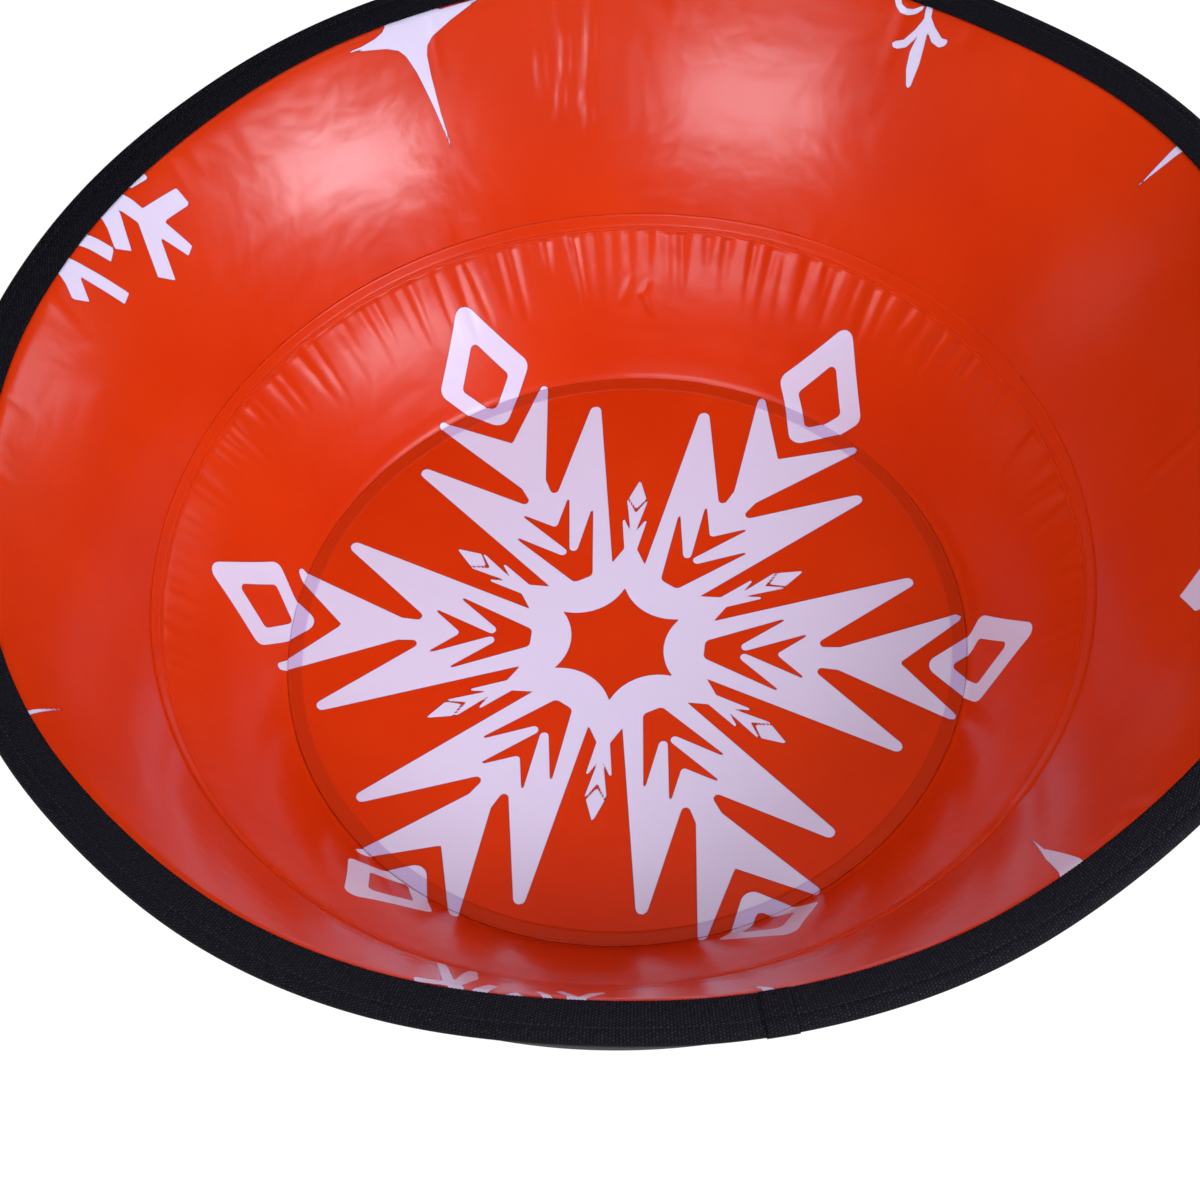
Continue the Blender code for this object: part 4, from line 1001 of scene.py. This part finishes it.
def round_ring(name, major, minor, out, turns=64, sides=10):
    """A thin ring of round section about the valve's axis."""
    points, faces = [], []
    for i in range(turns):
        t = 2 * math.pi * i / turns
        for j in range(sides):
            u = 2 * math.pi * j / sides
            radius = major + minor * math.cos(u)
            q = Vector((radius * math.cos(t), radius * math.sin(t), out + minor * math.sin(u)))
            points.append(tuple(VALVE_PLACE + valve_turn @ q))
            here, ahead, beyond = i * sides, (i + 1) % turns * sides, (j + 1) % sides
            faces.append((here + j, ahead + j, ahead + beyond, here + beyond))
    return mesh_piece(name, points, faces)


port_binding = round_ring("port_binding", PORT_RADIUS + 0.6 * MM, 1.0 * MM, PORT_LEVEL)
port_stitches = stitches("port_stitches", [port_circle(PORT_RADIUS + 3.0 * MM, PORT_LEVEL + 0.1 * MM)],
                         3.5 * MM, 0.5 * MM)


# %% Tow patch and strap
def softened(name, node_name, edge):
    """A merged copy of a CAD solid with rounded edges, for a piece of cloth or webbing."""
    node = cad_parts[node_name]
    solid = bmesh.new()
    solid.from_mesh(node.data)
    bmesh.ops.transform(solid, matrix=node.matrix_world, verts=solid.verts)
    bmesh.ops.remove_doubles(solid, verts=solid.verts, dist=1e-5)
    bmesh.ops.dissolve_limit(solid, angle_limit=math.radians(1), verts=solid.verts, edges=solid.edges)
    sharp = [e for e in solid.edges
             if len(e.link_faces) == 2 and e.calc_face_angle(0) > math.radians(40)]
    bmesh.ops.bevel(solid, geom=sharp, offset=edge, segments=2, profile=0.5,
                    affect="EDGES", clamp_overlap=True)
    bmesh.ops.recalc_face_normals(solid, faces=solid.faces)
    mesh = bpy.data.meshes.new(name)
    solid.to_mesh(mesh)
    solid.free()
    mesh.polygons.foreach_set("use_smooth", np.ones(len(mesh.polygons), dtype=bool))
    piece = bpy.data.objects.new(name, mesh)
    scene.collection.objects.link(piece)
    print(name, len(mesh.polygons), "faces")
    return piece


TOW_OUT, TOW_UP = Vector((0, 0.9154, -0.4026)), Vector((0, 0.4026, 0.9154))
TOW_MIDDLE = Vector((0, 0.4260, 0.19505))
patch_piece = softened("tow_patch_cloth", "tow_patch", 0.5 * MM)
strap_piece = softened("tow_strap_web", "tow_strap", 0.3 * MM)


def tow_box(half_width, low, high, out, steps=12):
    """A closed rectangle on the tow patch; out is its distance from the patch's middle."""
    corners = [(-half_width, low), (half_width, low), (half_width, high), (-half_width, high)]
    path = []
    for (x0, y0), (x1, y1) in zip(corners, corners[1:] + corners[:1]):
        for t in (k / steps for k in range(steps)):
            path.append(TOW_MIDDLE + TOW_OUT * out + Vector((1, 0, 0)) * (x0 + (x1 - x0) * t)
                        + TOW_UP * (y0 + (y1 - y0) * t))
    return path


tow_stitches = stitches("tow_stitches", [
    tow_box(0.0140, -0.0270, 0.0270, 1.05 * MM), tow_box(0.0095, 0.0100, 0.0200, 2.75 * MM),
    tow_box(0.0095, -0.0200, -0.0100, 2.75 * MM)], 2.6 * MM, 0.45 * MM)

# %% [markdown]
# ## Materials
#
# Each finish starts from what it is made of and how its surface was made.
# Colours are written as the hex values that a picker shows, and one function
# turns them to the linear values that the renderer works with. Patterns that
# follow a cloth read its UV map, which is in metres, so that a thread pitch can
# be given as a real size. The others read the place in the object.

# %% Colour and node helpers
def linear(hex_colour):
    """An sRGB hex colour as linear red, green, blue and alpha."""
    parts = [int(hex_colour[i:i + 2], 16) / 255 for i in (1, 3, 5)]
    return tuple(c / 12.92 if c <= 0.04045 else ((c + 0.055) / 1.055) ** 2.4 for c in parts) + (1.0,)


def new_material(name):
    """An empty material with its Principled shader linked. Returns material, tree, shader."""
    material = bpy.data.materials.new(name)
    material.use_nodes = True
    tree = material.node_tree
    tree.nodes.clear()
    shader = tree.nodes.new("ShaderNodeBsdfPrincipled")
    add_node(tree, "ShaderNodeOutputMaterial", {"Surface": shader.outputs[0]})
    return material, tree, shader


# %% Printed vinyl film
# Calendered PVC film is rolled smooth, so it mirrors lamps as bright, soft-edged
# patches, with faint dents where the air pulls it. The ink of a screen print
# lies on it nearly opaque. Where the film is doubled it looks a little darker.
LAP_RED, INK, INK_ON_LAP, OVERPRINT = "#C93206", "#E4DBEE", "#CDB9DC", "#A31A0A"


def vinyl_material(name, colour, deep, printed, rough=0.24, gloss=0.45):
    """PVC film with a cloudy tone, and with its print where printed is true."""
    material, tree, shader = new_material(name)
    where = add_node(tree, "ShaderNodeTexCoord").outputs["Object"]
    cloud = add_node(tree, "ShaderNodeTexNoise", {"Vector": where, "Scale": 9.0, "Detail": 3.0})
    tone = add_node(tree, "ShaderNodeMapRange",
                    {"Value": cloud.outputs["Fac"], "From Min": 0.3, "From Max": 0.7})
    film = add_node(tree, "ShaderNodeMix", {0: tone.outputs[0], 6: linear(deep), 7: linear(colour)},
                    data_type="RGBA")
    result = film.outputs[2]
    if printed:
        lap = add_node(tree, "ShaderNodeAttribute", attribute_name="lap").outputs["Fac"]
        under = add_node(tree, "ShaderNodeMix", {0: lap, 6: result, 7: linear(LAP_RED)},
                         data_type="RGBA")
        ink = add_node(tree, "ShaderNodeAttribute", attribute_name="ink").outputs["Fac"]
        ink_tone = add_node(tree, "ShaderNodeMix", {0: lap, 6: linear(INK), 7: linear(INK_ON_LAP)},
                            data_type="RGBA")
        # a dark line of overprint, half a millimetre wide, runs round the ink
        line = add_node(tree, "ShaderNodeMapRange", {"Value": ink, "From Min": -1.0, "From Max": -0.3})
        edged = add_node(tree, "ShaderNodeMix",
                         {0: line.outputs[0], 6: under.outputs[2], 7: linear(OVERPRINT)},
                         data_type="RGBA")
        cover_by = add_node(tree, "ShaderNodeMapRange",
                            {"Value": ink, "From Min": -0.3, "From Max": 0.3})
        inked = add_node(tree, "ShaderNodeMix",
                         {0: cover_by.outputs[0], 6: edged.outputs[2], 7: ink_tone.outputs[2]},
                         data_type="RGBA")
        result = inked.outputs[2]
    tree.links.new(result, shader.inputs["Base Color"])
    shader.inputs["Roughness"].default_value = rough
    shader.inputs["Specular IOR Level"].default_value = gloss
    shader.inputs["IOR"].default_value = 1.45
    dents = add_node(tree, "ShaderNodeTexNoise", {"Vector": where, "Scale": 45.0, "Detail": 2.0})
    bump = add_node(tree, "ShaderNodeBump",
                    {"Height": dents.outputs["Fac"], "Strength": 0.12, "Distance": 4.0 * MM})
    tree.links.new(bump.outputs[0], shader.inputs["Normal"])
    return material


vinyl_red = vinyl_material("printed_vinyl_film", "#DD3805", "#D63203", True)
# the gathered film of the skirt is a little duller than the taut film of the wall
vinyl_gathered = vinyl_material("printed_vinyl_film_gathered", "#DD3805", "#D63203", True, 0.28, 0.26)
vinyl_black = vinyl_material("black_vinyl_film", "#1B1A1E", "#151418", False)


# %% Woven tape and coated cloth
# Woven polyester shows its threads as rows of small pale bumps on near black, and
# has no clear highlight. The pitch is drawn at 2.2 mm on the tape and 1.2 mm on
# the cover, about twice the real size, because a finer one would not show.
def cloth_material(name, colour, fleck, pitch, strength, rough):
    """A slanting weave of round thread tops, pitch metres apart."""
    material, tree, shader = new_material(name)
    uv = add_node(tree, "ShaderNodeTexCoord").outputs["UV"]
    split = add_node(tree, "ShaderNodeSeparateXYZ", {0: uv})
    turn = math.pi / pitch
    warp = add_node(tree, MATH, {0: split.outputs[0], 1: turn}, operation="MULTIPLY")
    weft = add_node(tree, MATH, {0: split.outputs[1], 1: turn}, operation="MULTIPLY")
    slant = add_node(tree, MATH, {0: warp.outputs[0], 1: 0.5, 2: weft.outputs[0]},
                     operation="MULTIPLY_ADD")
    warp_top = add_node(tree, MATH, {0: warp.outputs[0]}, operation="SINE")
    slant_top = add_node(tree, MATH, {0: slant.outputs[0]}, operation="SINE")
    thread = add_node(tree, MATH, {0: warp_top.outputs[0], 1: slant_top.outputs[0]},
                      operation="MULTIPLY")
    height = add_node(tree, MATH, {0: thread.outputs[0]}, operation="ABSOLUTE").outputs[0]
    noise = add_node(tree, "ShaderNodeTexNoise", {"Vector": uv, "Scale": 420.0, "Detail": 2.0})
    lit = add_node(tree, MATH, {0: height, 1: noise.outputs["Fac"]}, operation="MULTIPLY").outputs[0]
    share = add_node(tree, "ShaderNodeMapRange", {"Value": lit, "From Min": 0.30, "From Max": 0.56})
    tone = add_node(tree, "ShaderNodeMix", {0: share.outputs[0], 6: linear(colour), 7: linear(fleck)},
                    data_type="RGBA")
    tree.links.new(tone.outputs[2], shader.inputs["Base Color"])
    shader.inputs["Roughness"].default_value = rough
    shader.inputs["Specular IOR Level"].default_value = 0.15
    bump = add_node(tree, "ShaderNodeBump",
                    {"Height": height, "Strength": strength, "Distance": 0.6 * MM})
    tree.links.new(bump.outputs[0], shader.inputs["Normal"])
    return material


tape_cloth = cloth_material("polyester_webbing_black", "#09080C", "#312E39", 2.2 * MM, 0.9, 0.8)
cover_cloth = cloth_material("coated_oxford_cloth_black", "#17161B", "#2A2930", 1.2 * MM, 0.5, 0.6)


# %% Rubber, thread, narrow webbing and steel
# Moulded rubber is satin, with the fine grain of its spark-eroded mould. Sewing
# thread and narrow webbing are matt. Zinc plate on steel is bright but not a
# clear mirror. The grain is about a millimetre, so the shader can draw it.
def plain_material(name, colour, rough, metallic=0.0, grain=900.0):
    """One colour, with a fine grain in its roughness and relief."""
    material, tree, shader = new_material(name)
    where = add_node(tree, "ShaderNodeTexCoord").outputs["Object"]
    noise = add_node(tree, "ShaderNodeTexNoise", {"Vector": where, "Scale": grain, "Detail": 3.0})
    shade = add_node(tree, "ShaderNodeMapRange",
                     {"Value": noise.outputs["Fac"], "To Min": rough - 0.06, "To Max": rough + 0.08})
    tree.links.new(shade.outputs[0], shader.inputs["Roughness"])
    shader.inputs["Base Color"].default_value = linear(colour)
    shader.inputs["Metallic"].default_value = metallic
    bump = add_node(tree, "ShaderNodeBump",
                    {"Height": noise.outputs["Fac"], "Strength": 0.15, "Distance": 0.4 * MM})
    tree.links.new(bump.outputs[0], shader.inputs["Normal"])
    return material


rubber = plain_material("moulded_rubber_black", "#1A1A1C", 0.55)
thread_finish = plain_material("polyester_thread_black", "#1D1B22", 0.6)
webbing = plain_material("narrow_webbing_black", "#151419", 0.75, grain=1400.0)
steel = plain_material("zinc_plated_steel", "#B9BCC2", 0.28, 1.0)

# %% Give every piece its finish
TRIMS = (port_binding, tape_stitches, foot_stitches, port_stitches, tow_stitches)
FINISHED = {vinyl_red: (floor_piece, wall_piece), vinyl_gathered: (skirt_piece,),
            vinyl_black: (outer_piece, webs), cover_cloth: (cover_piece, base_piece, patch_piece),
            tape_cloth: (tape, joint), webbing: (strap_piece,), thread_finish: TRIMS}
for material, pieces in FINISHED.items():
    for piece in pieces:
        piece.data.materials.clear()
        piece.data.materials.append(material)
# the CAD nodes that show as they are: valve, handles and ring
FINISH_OF = {"printed_pvc": vinyl_red, "black_pvc": vinyl_black, "cover_fabric": cover_cloth,
             "woven_tape": tape_cloth, "moulded_rubber": rubber, "ring_steel": steel}
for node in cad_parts.values():
    for slot in node.material_slots:
        kind = slot.material.name if slot.material else "none"
        slot.material = FINISH_OF.get(kind.split(".")[0], rubber)
print("finished", sum(map(len, FINISHED.values())), "pieces and", len(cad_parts), "nodes")

# %% [markdown]
# ## Light and floor
#
# Soft boxes give the pale highlights of the photograph. Each stands where the
# film mirrors it to the camera. Two wide lamps stand for the light of the whole
# room, which has no clear mirror image. The floor is white, and most of its
# white is added for the camera and for mirrors, so that the background is white
# without more light on the object.

# %% Lamps and world
CEILING_POWER, FILL_POWER, DARK_ROOM = 15.5, 13.0, 0.02   # watts, watts, world strength
COOL = (0.93, 0.97, 1.12)                  # cool daylight, as the pale lilac of the ink shows


def soft_lamp(name, place, aim, width, height, power, mirrored=True):
    """A soft box: a rectangular area lamp turned to a point. One that is not mirrored
    lights surfaces but makes no highlight, like light that comes from all over a room."""
    data = bpy.data.lights.new(name, "AREA")
    data.shape, data.size, data.size_y = "RECTANGLE", width, height
    data.energy, data.color = power, COOL
    lamp = bpy.data.objects.new(name, data)
    lamp.location = place
    lamp.rotation_mode = "QUATERNION"
    lamp.rotation_quaternion = (Vector(aim) - Vector(place)).to_track_quat("-Z", "Y")
    lamp.visible_glossy = mirrored
    scene.collection.objects.link(lamp)


def lamp_mirrored_at(name, seen, azimuth, elevation, distance, width, height, power):
    """A soft box in the direction in which a point of the wall mirrors the camera's view."""
    a, e = math.radians(azimuth), math.radians(elevation)
    way = Vector((math.sin(a) * math.cos(e), math.cos(a) * math.cos(e), math.sin(e)))
    soft_lamp(name, Vector(seen) + way * distance, seen, width, height, power)


soft_lamp("ceiling", (0.15, 0.1, 2.6), (0, 0.0, 0.1), 1.8, 1.2, CEILING_POWER, mirrored=False)
soft_lamp("room_fill", (0.0, 0.0, 4.5), (0, 0, 0), 9.0, 9.0, FILL_POWER, mirrored=False)
# each box is a bright core inside a dimmer halo, like a lamp behind its cloth
LEFT_PATCH, RIGHT_PATCH = (-0.202, 0.369, 0.258), (0.142, 0.397, 0.260)
lamp_mirrored_at("left_box_core", LEFT_PATCH, 134, 24, 2.00, 0.78, 0.38, 16.5)
lamp_mirrored_at("left_box_halo", LEFT_PATCH, 134, 24, 2.02, 1.06, 0.60, 3.6)
lamp_mirrored_at("right_box_core", RIGHT_PATCH, -150, 34, 2.00, 0.86, 0.40, 11.0)
lamp_mirrored_at("right_box_halo", RIGHT_PATCH, -150, 34, 2.02, 1.12, 0.60, 3.4)
lamp_mirrored_at("left_glow", (-0.443, 0.107, 0.314), 66, 10, 1.8, 0.5, 0.4, 2.4)
lamp_mirrored_at("right_glow", (0.416, 0.166, 0.295), -78, 13, 1.8, 0.5, 0.35, 0.35)

# %% The world
# The camera, mirrors and glass see white up to the horizon, where the pale floor
# ends. Above it only the camera sees white, because a studio is dark up there.
world = bpy.data.worlds.new("studio")
scene.world = world
world.use_nodes = True
tree = world.node_tree
tree.nodes.clear()
path = add_node(tree, "ShaderNodeLightPath").outputs
ray_way = add_node(tree, "ShaderNodeTexCoord").outputs["Generated"]
ray_parts = add_node(tree, "ShaderNodeSeparateXYZ", {0: ray_way})
downward = add_node(tree, MATH, {0: ray_parts.outputs[2], 1: 0.0}, operation="LESS_THAN")
mirrors = add_node(tree, MATH, {0: path["Is Glossy Ray"], 1: path["Is Transmission Ray"]},
                   operation="MAXIMUM")
backdrop = add_node(tree, MATH, {0: mirrors.outputs[0], 1: downward.outputs[0]}, operation="MULTIPLY")
white = add_node(tree, MATH, {0: backdrop.outputs[0], 1: path["Is Camera Ray"]}, operation="MAXIMUM")
level = add_node(tree, MATH, {0: white.outputs[0], 1: DARK_ROOM}, operation="MAXIMUM")
room = add_node(tree, "ShaderNodeBackground", {"Color": (1, 1, 1, 1), "Strength": level.outputs[0]})
add_node(tree, "ShaderNodeOutputWorld", {"Surface": room.outputs[0]})
print("world:", len(tree.nodes), "nodes")

# %% The floor
GROUND_HALF, GROUND_LEVEL = 25.0, -0.5 * MM
GROUND_GLOW, GLOW_SHARE = 1.06, 0.94       # the rest of the floor's look is its own light and shadow
corners = [(-1, -1), (1, -1), (1, 1), (-1, 1)]
ground = mesh_piece("ground", [(x * GROUND_HALF, y * GROUND_HALF, GROUND_LEVEL) for x, y in corners],
                    [(0, 1, 2, 3)], flat=True)
ground_material, tree, shader = new_material("painted_studio_floor")
shader.inputs["Base Color"].default_value = linear("#E8E8E8")
shader.inputs["Roughness"].default_value = 0.9
path = add_node(tree, "ShaderNodeLightPath").outputs
mirrors = add_node(tree, MATH, {0: path["Is Glossy Ray"], 1: path["Is Transmission Ray"]},
                   operation="MAXIMUM")
shown = add_node(tree, MATH, {0: path["Is Camera Ray"], 1: mirrors.outputs[0]}, operation="MAXIMUM")
glow_level = add_node(tree, MATH, {0: shown.outputs[0], 1: GROUND_GLOW}, operation="MULTIPLY")
glow = add_node(tree, "ShaderNodeEmission", {"Color": (1, 1, 1, 1), "Strength": glow_level.outputs[0]})
glow_mix = add_node(tree, "ShaderNodeMixShader",
                    {0: GLOW_SHARE, 1: shader.outputs[0], 2: glow.outputs[0]})
surface = next(n for n in tree.nodes if n.bl_idname == "ShaderNodeOutputMaterial")
tree.links.new(glow_mix.outputs[0], surface.inputs[0])
ground.data.materials.append(ground_material)
scene.view_settings.view_transform = "Standard"

# %% Hang each piece on the tube and hide the CAD nodes that it stands for
STANDS_FOR = {
    floor_piece: (["seat_floor"], "printed_pvc"),
    skirt_piece: (["seat_skirt"], "printed_pvc"),
    wall_piece: (["inner_wall"], "printed_pvc"),
    outer_piece: (["outer_sheet"], "black_pvc"),
    webs: ([f"chamber_web_{i:02d}" for i in range(1, WEB_COUNT + 1)], "black_pvc"),
    cover_piece: (["cover_side"], "cover_fabric"),
    base_piece: (["cover_base"], "cover_fabric"),
    tape: (["rim_tape"], "woven_tape"),
    joint: (["tape_joint"], "woven_tape"),
    patch_piece: (["tow_patch"], "cover_fabric"),
    strap_piece: (["tow_strap"], "woven_tape"),
}
for piece, (nodes, slot_name) in STANDS_FOR.items():
    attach(piece, "tube")
    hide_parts(*nodes)
for piece in TRIMS:
    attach(piece, "tube")
print(len(STANDS_FOR), "pieces stand for nodes, and", len(TRIMS), "are trim")
